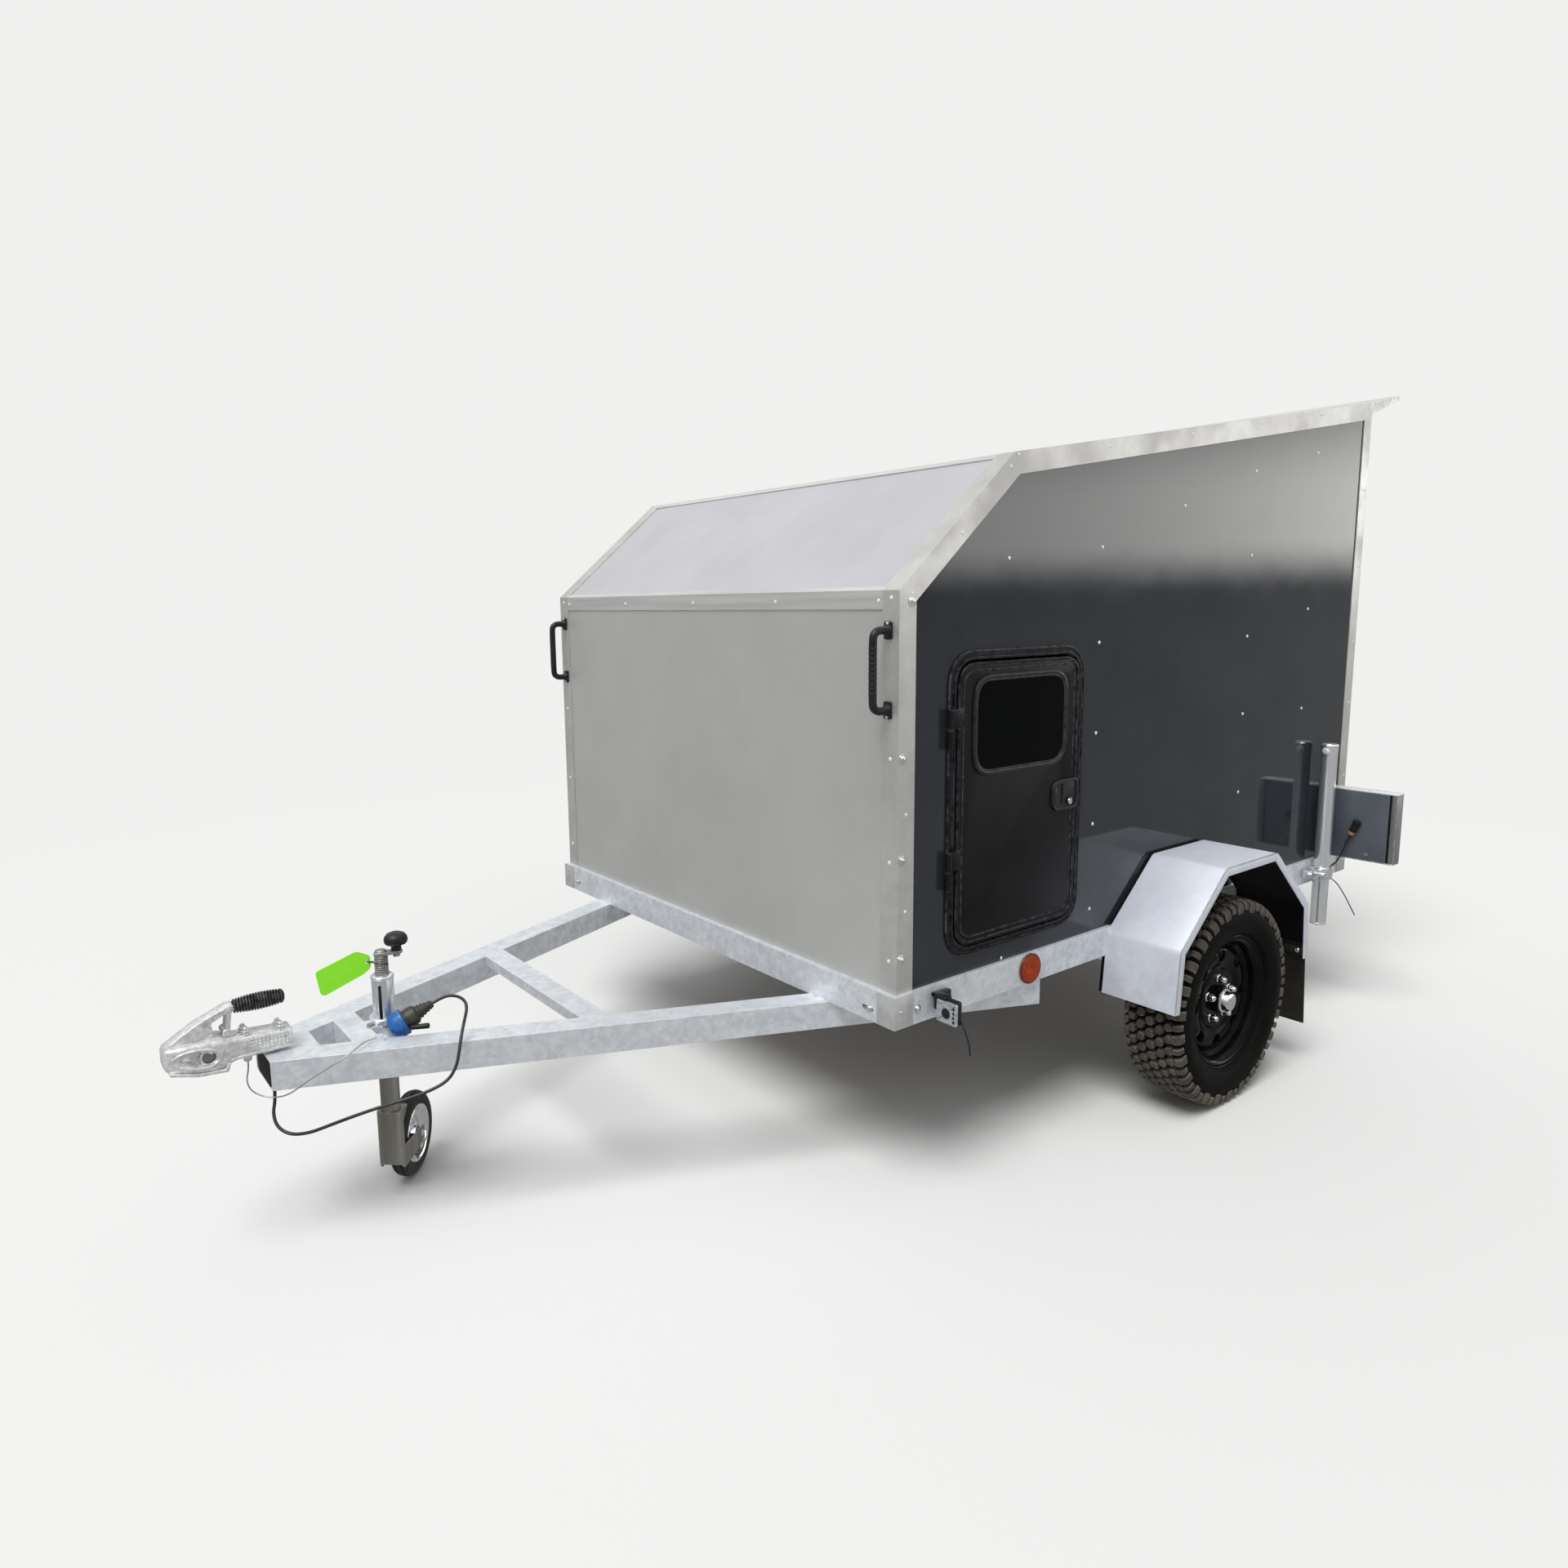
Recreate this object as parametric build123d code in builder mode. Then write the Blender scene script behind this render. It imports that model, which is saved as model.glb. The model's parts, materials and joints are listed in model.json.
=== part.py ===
from build123d import *
from math import atan2, cos, degrees, hypot, pi, radians, sin, tan
import os

# Box camper trailer: a hollow panelled body on a box-section chassis, one axle with two
# wheels, an A-frame drawbar with a ball coupling and a jockey wheel, doors on both sides, a
# lift-up rear hatch and two drop-down corner steadies. Millimetres. +X is towards the
# coupling, +Y is the left side, +Z is up. Z = 0 is the ground and the origin is under the
# middle of the whole trailer.

os.makedirs("parts", exist_ok=True)

# ---- Driving dimensions ----------------------------------------------------------------
body_length = 2134.0          # outside the edge trims
body_width = 1524.0
front_height = 877.0          # front wall, above the chassis rails
ridge_setback = 356.0         # the sloped panel runs back this far
ridge_rise = 303.0            # and up this far
rear_rise = 286.0             # the roof goes on rising towards the rear
wall_thickness = 22.0         # sandwich panel
trim_width = 50.0             # aluminium angle on every edge
trim_thickness = 3.0
cross_trim_width = 40.0

chassis_top = 505.0
rail_height = 76.0
rail_width = 50.0
rail_wall = 3.0
rail_side_ledge = 8.0         # the rails stand out past the body sides
rail_end_ledge = 12.0         # and past its front and back
cross_member_width = 40.0
cross_member_height = 50.0
cross_member_count = 3

drawbar_reach = 1125.0        # front end of the drawbar rails, ahead of the front wall
drawbar_angle = 23.4          # each rail, away from the centre line
drawbar_width = 64.0
drawbar_height = 64.0
drawbar_wall = 4.0
drawbar_brace_reach = 512.0   # front edge of the cross brace
drawbar_brace_width = 60.0
drawbar_brace_height = 25.0
nose_plate_length = 90.0
nose_plate_setback = 15.0
nose_plate_thickness = 8.0

nose_reach = 1310.0           # front tip of the coupling, ahead of the front wall
nose_radius = 22.0
ball_diameter = 50.0
ball_clearance = 0.2
coupling_length = 242.0
coupling_width = 60.0
coupling_rear_height = 26.0
coupling_back_rise = 14.0     # the back of the coupling rises this much to its hump
coupling_hump_height = 66.0
coupling_hump_back = 75.0     # the hump starts this far behind the ball
coupling_hump_front = 25.0
coupling_front_height = 40.0
coupling_corner = 6.0
coupling_brow = 10.0          # its top runs level this far ahead of the ball
coupling_brow_drop = 4.0
coupling_snout = 10.0         # flat front of the pressing, behind the tip
coupling_snout_low = 6.0
coupling_throat = 10.0        # the pressing's belly, above the mouth of the cup
coupling_heel = 8.0           # and its heel, behind the cup
coupling_heel_length = 18.0
ball_setback = 8.0            # the cup's front, behind the tip
cup_wall = 15.0
cup_depth = 33.0
cup_drop = 22.0               # the cup reaches below the drawbar top
cup_height = 58.0
lever_setback = 62.0          # the lever stands this far behind the ball
lever_rise = 110.0
lever_width = 24.0
lever_thickness = 14.0
lever_seat = 0.2
grip_radius = 11.0
grip_length = 118.0

tyre_radius = 282.5
tyre_width = 165.0
tyre_outer_y = 975.0          # outer face of each tyre
tyre_shoulder = 22.0
tyre_bulge_radius = 228.0     # the side walls stand out most here
tread_half = 30.0
tread_crown = 4.0             # the tread's edges lie this much lower than its middle
rim_seat_radius = 165.1       # a 13 inch rim
rim_flange_radius = 182.4
rim_flange_metal = 6.0
rim_width = 127.0
rim_metal = 5.0
rim_well_depth = 14.0
rim_disc_offset = 30.0        # mounting face, outboard of the rim's middle
rim_disc_dish = 12.0
rim_disc_radius = 110.0       # the disc's raised ring
rim_boss_radius = 82.0
wheel_setback = 1067.0        # axle line, behind the front wall
bolt_circle = 112.0
bolt_count = 5
stud_radius = 6.0
stud_length = 24.0
stud_clearance = 1.0
nut_radius = 12.0
nut_height = 16.0
hub_radius = 58.0
hub_flange_radius = 76.0
hub_flange_thickness = 8.0
hub_half_length = 50.0
hub_cap_radius = 26.0
hub_cap_step = 4.0

axle_section = 70.0
axle_wall = 6.0
axle_lead = 132.0             # the axle beam lies this far ahead of the wheel centres
arm_height = 62.0
arm_thickness = 36.0
stub_end_gap = 14.0           # the stub axle ends this far short of the rim's disc
hub_end_gap = 5.0
axle_end_inset = 30.0         # the beam stops short of the rails' outer faces
stub_radius = 20.0
bearing_clearance = 0.3

mudguard_outer_y = 980.0
mudguard_setback = 1102.0     # middle of the mudguard
mudguard_top_z = 672.0
mudguard_top_half = 132.0
mudguard_knee_z = 492.0
mudguard_knee_half = 332.0
mudguard_foot_z = 330.0
mudguard_foot_half = 346.0
mudguard_metal = 3.0
mudguard_lip = 22.0
mudflap_drop = 205.0          # below the mudguard
mudflap_overlap = 40.0        # and up behind it
mudflap_inset = 22.0
mudflap_edge_gap = 1.0
mudflap_thickness = 4.0

door_setback = 397.0          # middle of the door, behind the front wall
door_middle_z = 898.5
door_width = 490.0            # outside its frame
door_height = 703.0
door_corner = 85.0
door_frame_width = 22.0
door_frame_proud = 6.0
door_gap = 5.0
door_leaf_thickness = 30.0
door_leaf_proud = 12.0
door_hinge_radius = 7.0
door_hinge_proud = 1.0        # the pin's middle, outside the face of the leaf
door_hinge_spread = 320.0
door_hinge_length = 90.0
door_hinge_rise = 20.0        # middle of the hinge pair, above the middle of the door
door_hinge_gap = 0.2          # half the gap between the two knuckles of a hinge
door_hinge_strap = 60.0
door_hinge_strap_metal = 4.0
door_hinge_post_width = 14.0
door_hinge_post_depth = 10.0
door_open_angle = 110.0
window_width = 300.0
window_height = 190.0
window_corner = 40.0
window_drop = 76.5            # its top edge, below the top of the door frame
window_thickness = 5.0
window_inset = 8.0
lock_width = 100.0
lock_height = 76.0
lock_corner = 18.0
lock_proud = 5.0
lock_edge = 10.0              # from the lock's plate to the edge of the leaf
lock_drop = 13.0              # its middle, below the middle of the door

hatch_gap = 6.0
hatch_hinge_radius = 5.0
hatch_hinge_length = 90.0
hatch_hinge_gap = 0.4
hatch_hinge_places = (-450.0, 0.0, 450.0)
hatch_hinge_leaf_metal = 2.0
hatch_hinge_leaf_height = 28.0
hatch_lock_y = 520.0
hatch_lock_rise = 70.0        # middle of its locks, above the foot of the hatch
lip_reach = 198.0             # roof lip, behind the rear face
lip_kick = 44.0               # its top edge ends this much above the roof
lip_root = 35.0
lip_tip = 15.0
lip_metal = 2.0
floor_thickness = 18.0

jockey_reach = 866.0          # jockey wheel stem, ahead of the front wall
jockey_outer_radius = 24.0
jockey_tube_wall = 2.0
jockey_leg_radius = 21.5
jockey_outer_top = 535.0
jockey_outer_bottom = 370.0
jockey_leg_top = 430.0
jockey_leg_bottom = 216.0
jockey_wheel_radius = 100.0
jockey_wheel_width = 40.0
jockey_rim_radius = 68.0
jockey_castor = 105.0
jockey_castor_angle = 230.0   # where the wheel trails, from +X towards +Y
jockey_fork_metal = 3.0
jockey_fork_gap = 5.0
jockey_fork_bottom = 75.0
jockey_fork_depth = 20.0      # depth of its upright channel
jockey_fork_crown = 24.0      # its crown reaches this far behind the swivel
jockey_fork_crown_height = 30.0
jockey_fork_corner = 9.0      # its folds, outside
jockey_fork_toe = 14.0        # its foot is cut back this much
jockey_arm_start = 26.0       # its arms, above the axle where they leave the channel
jockey_arm_end = 14.0         # and round the axle
jockey_arm_heel = 20.0        # their lower edge turns up this far before the axle
jockey_fork_seat = 0.5        # gap between the leg and the fork
jockey_shoulder = 14.0        # the tyre's side stops this far below its crown
jockey_rim_hub_radius = 22.0
jockey_rim_edge_radius = 56.0
jockey_pin_radius = 8.0       # swivel pin
jockey_pin_length = 26.0
jockey_axle_radius = 6.0
mount_setback = 165.0         # jockey wheel's mounting block, behind the drawbar's front end
mount_length = 54.0
mount_height = 50.0
mount_collar = 11.0
crank_angle = 162.0
crank_length = 34.0
crank_cap_height = 10.0
crank_neck_radius = 13.0
crank_neck = 47.0
crank_arm_width = 20.0
crank_arm_metal = 8.0
knob_radius = 25.0
knob_height = 32.0
knob_stem_radius = 9.0
knob_stem = 12.0
knob_round = 12.0

stand_setback = 1915.0        # corner steadies, behind the front wall
stand_radius = 24.0
stand_wall = 3.0
stand_y = 800.0
stand_foot = 294.0
stand_length = 592.0
stand_clamp_height = 45.0

board_setback = 2000.0        # front face of the lamp boards
board_depth = 45.0
board_outer_y = 966.0
board_top = 737.0
board_height = 230.0
board_metal = 2.0
lamp_inset = 14.0
lamp_height = 100.0
lamp_rise = 20.0
lamp_corner = 12.0
lamp_proud = 4.0

handle_top = 1298.0           # grab handles, between the middles of their feet
handle_bottom = 1130.0
handle_inset = 30.0           # their middle, from the side of the body
handle_reach_out = 56.0       # its grip, from the front wall
handle_thickness = 18.0
handle_width = 22.0
handle_foot = 38.0
handle_foot_metal = 6.0
handle_round = 7.0

reflector_setback = 450.0
reflector_radius = 38.0
reflector_thickness = 9.0
marker_setback = 115.0        # front face of the front marker lamps
marker_width = 76.0           # out from the chassis rail
marker_height = 52.0
marker_depth = 36.0
marker_middle_z = 446.0
marker_base_length = 60.0
marker_base_height = 62.0
marker_base_metal = 4.0

cord_gap = 0.2
lead_radius = 3.5             # tow lead, from the drawbar's nose to its plug
lead_gland_radius = 8.0
plug_radius = 21.0
plug_length = 34.0
plug_shoulder = 4.0           # step from the plug down to its boot
plug_boot_end = 8.0
plug_cap_radius = 30.0
plug_cap_length = 26.0
plug_rest_metal = 6.0
plug_rest_half = 24.0
cable_radius = 1.5            # breakaway cable, from the coupling to a lug on the drawbar
cable_lug_setback = 206.0     # its front face, behind the front of the drawbar
cable_lug_inset = 17.0        # its middle, from the inner side of the rail
cable_lug_size = 14.0
cable_lug_height = 14.0
board_lead_radius = 2.5
board_gland_radius = 10.0
board_gland_length = 46.0
board_gland_tilt = 23.0       # from straight down, towards the body
board_lead_run = 40.0         # first run of the board leads
tag_thickness = 2.0
tag_length = 112.0
tag_height = 62.0
tag_corner = 12.0
tag_tilt = 15.0
tag_tie_width = 5.0
tag_tie_rise = 26.0

# Routes of the cords, point by point. The tow lead runs from its gland under the drawbar's
# nose, hangs outside the left rail, and goes over the rail to its plug.
tow_lead_route = [
    (1627.0, 44.0, 357.0),
    (1627.0, 44.0, 334.0),
    (1636.0, 54.0, 309.0),
    (1633.0, 70.0, 284.0),
    (1614.0, 92.0, 270.0),
    (1583.0, 120.0, 275.0),
    (1545.0, 150.0, 294.0),
    (1503.0, 180.0, 313.0),
    (1459.0, 206.0, 328.0),
    (1413.0, 228.0, 339.0),
    (1369.0, 245.0, 350.0),
    (1331.0, 254.0, 365.0),
    (1310.0, 251.0, 390.0),
    (1299.0, 243.0, 420.0),
    (1287.0, 229.0, 449.0),
    (1269.0, 205.0, 471.0),
    (1250.0, 173.0, 482.0),
    (1242.0, 138.0, 487.0),
    (1250.0, 108.0, 490.0),
]
plug_cap_setback = 4.0        # middle of the cap that the plug is parked in, behind the jockey
plug_cap_y = 69.0
plug_cap_rise = 9.0           # and above the top of the drawbar
plug_end_setback = 81.0       # where the lead enters the plug's boot, in the same way
plug_end_y = 85.0
plug_end_rise = 47.0
lead_entry = 28.0                             # the lead's straight run into the boot

# The breakaway cable drops from under the coupling, round the left rail and up to a lug.
safety_cable_route = [
    (1669.0, 24.0, 429.0),
    (1669.0, 24.0, 407.0),
    (1676.0, 27.0, 386.0),
    (1672.0, 33.0, 366.0),
    (1657.0, 43.0, 352.0),
    (1637.0, 57.0, 346.0),
    (1617.0, 76.0, 350.0),
    (1600.0, 94.0, 363.0),
    (1580.0, 106.0, 380.0),
    (1557.0, 117.0, 396.0),
    (1535.0, 129.0, 410.0),
    (1514.0, 139.0, 423.0),
    (1496.0, 141.0, 433.0),
    (1476.0, 131.0, 438.0),
    (1460.0, 115.0, 438.0),
    (1444.0, 106.0, 437.0),
    (1430.0, 106.0, 437.0),
]

# A lamp board's lead, from its gland to the chassis rail: distance from the centre line
# and height, a little ahead of the board.
board_lead_line = [
    (844.0, 576.0),
    (832.0, 537.0),
    (820.0, 503.0),
    (806.0, 481.0),
    (788.0, 468.0),
]

# ---- Places worked out from them ---------------------------------------------------------
front_x = (body_length + lip_reach - nose_reach) / 2      # front face of the body
rear_x = front_x - body_length
half_width = body_width / 2
wall_outer_y = half_width - trim_thickness
wall_inner_y = wall_outer_y - wall_thickness
chassis_bottom = chassis_top - rail_height
rail_outer_y = half_width + rail_side_ledge
rail_inner_y = rail_outer_y - rail_width
chassis_front_x = front_x + rail_end_ledge
chassis_rear_x = rear_x - rail_end_ledge
wheel_x = front_x - wheel_setback
wheel_z = tyre_radius
wheel_y = tyre_outer_y - tyre_width / 2
slope = tan(radians(drawbar_angle))
nose_half = drawbar_width / cos(radians(drawbar_angle))
drawbar_front_x = front_x + drawbar_reach
drawbar_end_x = drawbar_front_x - (rail_outer_y - nose_half) / slope
drawbar_bottom = chassis_bottom - drawbar_height
jockey_x = front_x + jockey_reach
plug_cap_place = (jockey_x - plug_cap_setback, plug_cap_y, chassis_bottom + plug_cap_rise)
plug_end_place = (jockey_x - plug_end_setback, plug_end_y, chassis_bottom + plug_end_rise)
stand_x = front_x - stand_setback
rail_middle_z = chassis_top - rail_height / 2
handle_y = half_width - handle_inset
cable_lug_x = drawbar_front_x - cable_lug_setback
cable_lug_y = cable_lug_setback * slope + cable_lug_inset


def keep(piece, name):
    """Label a finished piece and write it to its own file."""
    piece.label = name
    export_step(piece, f"parts/{name}.step")


def drawbar_inner(x):
    """Distance from the centre line to a drawbar rail's inner face."""
    return (drawbar_front_x - x) * slope


def side_profile(depth):
    """Corners of the body's side outline, its front, slope, roof and rear lines moved in."""
    ridge_z = chassis_top + front_height + ridge_rise
    outline = [
        (front_x, chassis_top),
        (front_x, chassis_top + front_height),
        (front_x - ridge_setback, ridge_z),
        (rear_x, ridge_z + rear_rise),
        (rear_x, chassis_top),
    ]
    depths = [depth, depth, depth, depth, 0.0]
    moved = []
    for i in range(5):
        ax, az = outline[i]
        bx, bz = outline[(i + 1) % 5]
        run = hypot(bx - ax, bz - az)
        ux, uz = (bx - ax) / run, (bz - az) / run
        moved.append((ax - uz * depths[i], az + ux * depths[i], ux, uz))
    corners = []
    for i in range(5):
        px, pz, ux, uz = moved[i - 1]
        qx, qz, vx, vz = moved[i]
        along = ((qx - px) * vz - (qz - pz) * vx) / (ux * vz - uz * vx)
        corners.append((px + ux * along, pz + uz * along))
    return corners


def side_plane(y):
    """A plane parallel to the sides, whose own x and y are the trailer's X and Z."""
    return Plane(origin=(0, y, 0), x_dir=(1, 0, 0), z_dir=(0, -1, 0))


def axial_plane(x, y, z):
    """A plane through a wheel's axis: its own x runs along +Y and its own y along +Z."""
    return Plane(origin=(x, y, z), x_dir=(0, 1, 0), z_dir=(1, 0, 0))


def plate_along_y(corners, low_y, high_y):
    """A plate with a side outline in X and Z, between two widths."""
    with BuildPart() as plate:
        with BuildSketch(side_plane(high_y)):
            with BuildLine():
                Polyline(*corners, close=True)
            make_face()
        extrude(amount=high_y - low_y)
    return plate.part


# ---- Chassis -----------------------------------------------------------------------------
def box_section(width, height, wall):
    """The section of a box-section bar, drawn in the open sketch."""
    Rectangle(width, height)
    Rectangle(width - 2 * wall, height - 2 * wall, mode=Mode.SUBTRACT)


with BuildPart() as chassis_side_rails:
    for side in (1, -1):
        rail_y = side * (rail_outer_y - rail_width / 2)
        rail_start = (chassis_rear_x, rail_y, rail_middle_z)
        with BuildSketch(Plane(origin=rail_start, x_dir=(0, 1, 0), z_dir=(1, 0, 0))):
            box_section(rail_width, rail_height, rail_wall)
        extrude(amount=chassis_front_x - chassis_rear_x)
keep(chassis_side_rails.part, "chassis_side_rails")

with BuildPart() as chassis_end_rails:
    for rail_x in (chassis_front_x - rail_width / 2, chassis_rear_x + rail_width / 2):
        rail_start = (rail_x, -rail_inner_y, rail_middle_z)
        with BuildSketch(Plane(origin=rail_start, x_dir=(1, 0, 0), z_dir=(0, 1, 0))):
            box_section(rail_width, rail_height, rail_wall)
        extrude(amount=2 * rail_inner_y)
keep(chassis_end_rails.part, "chassis_end_rails")

cross_spacing = body_length / (cross_member_count + 1)
cross_z = chassis_top - cross_member_height / 2
with BuildPart() as chassis_cross_members:
    for i in range(cross_member_count):
        cross_start = (front_x - cross_spacing * (i + 1), -rail_inner_y, cross_z)
        with BuildSketch(Plane(origin=cross_start, x_dir=(1, 0, 0), z_dir=(0, 1, 0))):
            box_section(cross_member_width, cross_member_height, rail_wall)
        extrude(amount=2 * rail_inner_y)
keep(chassis_cross_members.part, "chassis_cross_members")

# ---- Drawbar -----------------------------------------------------------------------------
for side, name in ((1, "left"), (-1, "right")):
    with BuildPart() as drawbar_rail:
        with BuildSketch(Plane.XY.offset(drawbar_bottom)):
            with BuildLine():
                Polyline(
                    (drawbar_front_x, side * nose_half),
                    (drawbar_front_x, 0),
                    (drawbar_end_x, side * drawbar_inner(drawbar_end_x)),
                    (drawbar_end_x, side * (drawbar_inner(drawbar_end_x) + nose_half)),
                    close=True,
                )
            make_face()
        extrude(amount=drawbar_height)
        wall_shift = drawbar_wall / cos(radians(drawbar_angle))
        with BuildSketch(Plane.XY.offset(drawbar_bottom + drawbar_wall)):
            with BuildLine():
                Polyline(
                    (drawbar_front_x, side * (nose_half - wall_shift)),
                    (drawbar_front_x, side * wall_shift),
                    (drawbar_end_x, side * (drawbar_inner(drawbar_end_x) + wall_shift)),
                    (
                        drawbar_end_x,
                        side * (drawbar_inner(drawbar_end_x) + nose_half - wall_shift),
                    ),
                    close=True,
                )
            make_face()
        extrude(amount=drawbar_height - 2 * drawbar_wall, mode=Mode.SUBTRACT)
        if side > 0:
            with BuildSketch(Plane.XY.offset(chassis_bottom)):
                with Locations((cable_lug_x - cable_lug_size / 2, cable_lug_y)):
                    Rectangle(cable_lug_size, cable_lug_size)
            extrude(amount=cable_lug_height)
    keep(drawbar_rail.part, f"drawbar_rail_{name}")


brace_front_x = front_x + drawbar_brace_reach
nose_front_x = drawbar_front_x - nose_plate_setback
with BuildPart() as drawbar_plates:
    for plate_front, plate_length, plate_height in (
        (brace_front_x, drawbar_brace_width, drawbar_brace_height),
        (nose_front_x, nose_plate_length, nose_plate_thickness),
    ):
        plate_back = plate_front - plate_length
        with BuildSketch(Plane.XY.offset(chassis_bottom - plate_height)):
            with BuildLine():
                Polyline(
                    (plate_front, drawbar_inner(plate_front)),
                    (plate_front, -drawbar_inner(plate_front)),
                    (plate_back, -drawbar_inner(plate_back)),
                    (plate_back, drawbar_inner(plate_back)),
                    close=True,
                )
            make_face()
        extrude(amount=plate_height)
keep(drawbar_plates.part, "drawbar_plates")

# ---- Coupling ----------------------------------------------------------------------------
coupling_tip_x = front_x + nose_reach
coupling_rear_x = coupling_tip_x - coupling_length
ball_radius = ball_diameter / 2
cup_radius = ball_radius + ball_clearance
housing_radius = cup_radius + cup_wall
ball_x = coupling_tip_x - housing_radius - ball_setback
deck = chassis_bottom                     # top of the drawbar, where the coupling sits
cup_mouth = deck - cup_drop
back_top = deck + coupling_rear_height + coupling_back_rise
hump_top = deck + coupling_hump_height
hump_back_x = ball_x - coupling_hump_back
hump_front_x = ball_x - coupling_hump_front
snout_x = coupling_tip_x - coupling_snout
heel_x = ball_x - housing_radius - coupling_heel
cut_margin = 1.0                          # cuts start this far outside what they cut
with BuildPart() as coupling:
    with BuildSketch(side_plane(coupling_width / 2)):
        with BuildLine():
            Polyline(
                (coupling_rear_x, deck),
                (coupling_rear_x, deck + coupling_rear_height),
                (hump_back_x, back_top),
                (hump_front_x, hump_top),
                (ball_x + coupling_brow, hump_top - coupling_brow_drop),
                (snout_x, deck + coupling_front_height),
                (snout_x, deck + coupling_snout_low),
                (ball_x, cup_mouth + coupling_throat),
                (heel_x, cup_mouth),
                (heel_x - coupling_heel_length, deck),
                close=True,
            )
        make_face()
    extrude(amount=coupling_width)
    top_edges = coupling.edges().filter_by(Axis.X, reverse=True).group_by(Axis.Z)[-1]
    fillet(top_edges, radius=coupling_corner)
    with BuildSketch(Plane.XY.offset(cup_mouth)):
        with Locations((ball_x, 0)):
            Circle(housing_radius)
    extrude(amount=cup_height)
    with BuildSketch(Plane.XY.offset(deck)):
        with Locations((coupling_tip_x - nose_radius, 0)):
            Circle(nose_radius)
    extrude(amount=cup_height - cup_drop - coupling_brow)
    with BuildSketch(Plane.XY.offset(cup_mouth - cut_margin)):
        with Locations((ball_x, 0)):
            Circle(cup_radius)
    extrude(amount=cup_depth + cut_margin, mode=Mode.SUBTRACT)
keep(coupling.part, "coupling_head")

lever_x = ball_x - lever_setback
lever_top = deck + lever_rise
lever_back_x = lever_x - lever_width / 2
lever_front_x = lever_x + lever_width / 2
hump_slope = (hump_top - back_top) / (hump_front_x - hump_back_x)


def hump_z(x):
    """Height of the lever's foot, just over the coupling's rising back."""
    return back_top + (x - hump_back_x) * hump_slope + lever_seat


with BuildPart() as coupling_lever:
    with BuildSketch(side_plane(lever_thickness / 2)):
        with BuildLine():
            Polyline(
                (lever_back_x, hump_z(lever_back_x)),
                (lever_back_x, lever_top),
                (lever_front_x, lever_top),
                (lever_front_x, hump_z(lever_front_x)),
                close=True,
            )
        make_face()
    extrude(amount=lever_thickness)
    grip_start = Plane(origin=(lever_x, 0, lever_top), x_dir=(0, 1, 0), z_dir=(-1, 0, 0))
    with BuildSketch(grip_start):
        Circle(grip_radius)
    extrude(amount=grip_length)
keep(coupling_lever.part, "coupling_lever")

# ---- Jockey wheel ------------------------------------------------------------------------
mount_front_x = drawbar_front_x - mount_setback
mount_back_x = mount_front_x - mount_length
mount_low = chassis_bottom - mount_height
clamp_radius = jockey_outer_radius + mount_collar
plug_axis = (Vector(*plug_end_place) - Vector(*plug_cap_place)).normalized()
plug_rise = plug_axis.Z
plug_run = hypot(plug_axis.X, plug_axis.Y)
plug_cap_low = plug_cap_radius * plug_run + plug_cap_length / 2 * plug_rise
plug_rest_top = plug_cap_place[2] - plug_cap_low - cord_gap
with BuildPart() as jockey_mount:
    with BuildSketch(Plane.XY.offset(mount_low)):
        with BuildLine():
            Polyline(
                (mount_front_x, drawbar_inner(mount_front_x)),
                (mount_front_x, -drawbar_inner(mount_front_x)),
                (mount_back_x, -drawbar_inner(mount_back_x)),
                (mount_back_x, drawbar_inner(mount_back_x)),
                close=True,
            )
        make_face()
        with Locations(((jockey_x + mount_back_x) / 2, 0)):
            Rectangle(mount_back_x - jockey_x, clamp_radius * 1.4)
        with Locations((jockey_x, 0)):
            Circle(clamp_radius)
    extrude(amount=mount_height)
    with BuildSketch(Plane.XY.offset(plug_rest_top - plug_rest_metal)):
        with BuildLine():
            Polyline(
                (jockey_x + plug_rest_half, 0),
                (jockey_x + plug_rest_half, drawbar_inner(jockey_x + plug_rest_half)),
                (jockey_x - plug_rest_half, drawbar_inner(jockey_x - plug_rest_half)),
                (jockey_x - plug_rest_half, 0),
                close=True,
            )
        make_face()
    extrude(amount=plug_rest_metal)
    with BuildSketch(Plane.XY.offset(mount_low - cut_margin)):
        with Locations((jockey_x, 0)):
            Circle(jockey_outer_radius)
    extrude(amount=mount_height + 2 * cut_margin, mode=Mode.SUBTRACT)
keep(jockey_mount.part, "jockey_mount")

with BuildPart() as jockey_outer_tube:
    with BuildSketch(Plane.XY.offset(jockey_outer_bottom)):
        with Locations((jockey_x, 0)):
            Circle(jockey_outer_radius)
            Circle(jockey_outer_radius - jockey_tube_wall, mode=Mode.SUBTRACT)
    extrude(amount=jockey_outer_top - jockey_outer_bottom)
keep(jockey_outer_tube.part, "jockey_outer_tube")

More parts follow.
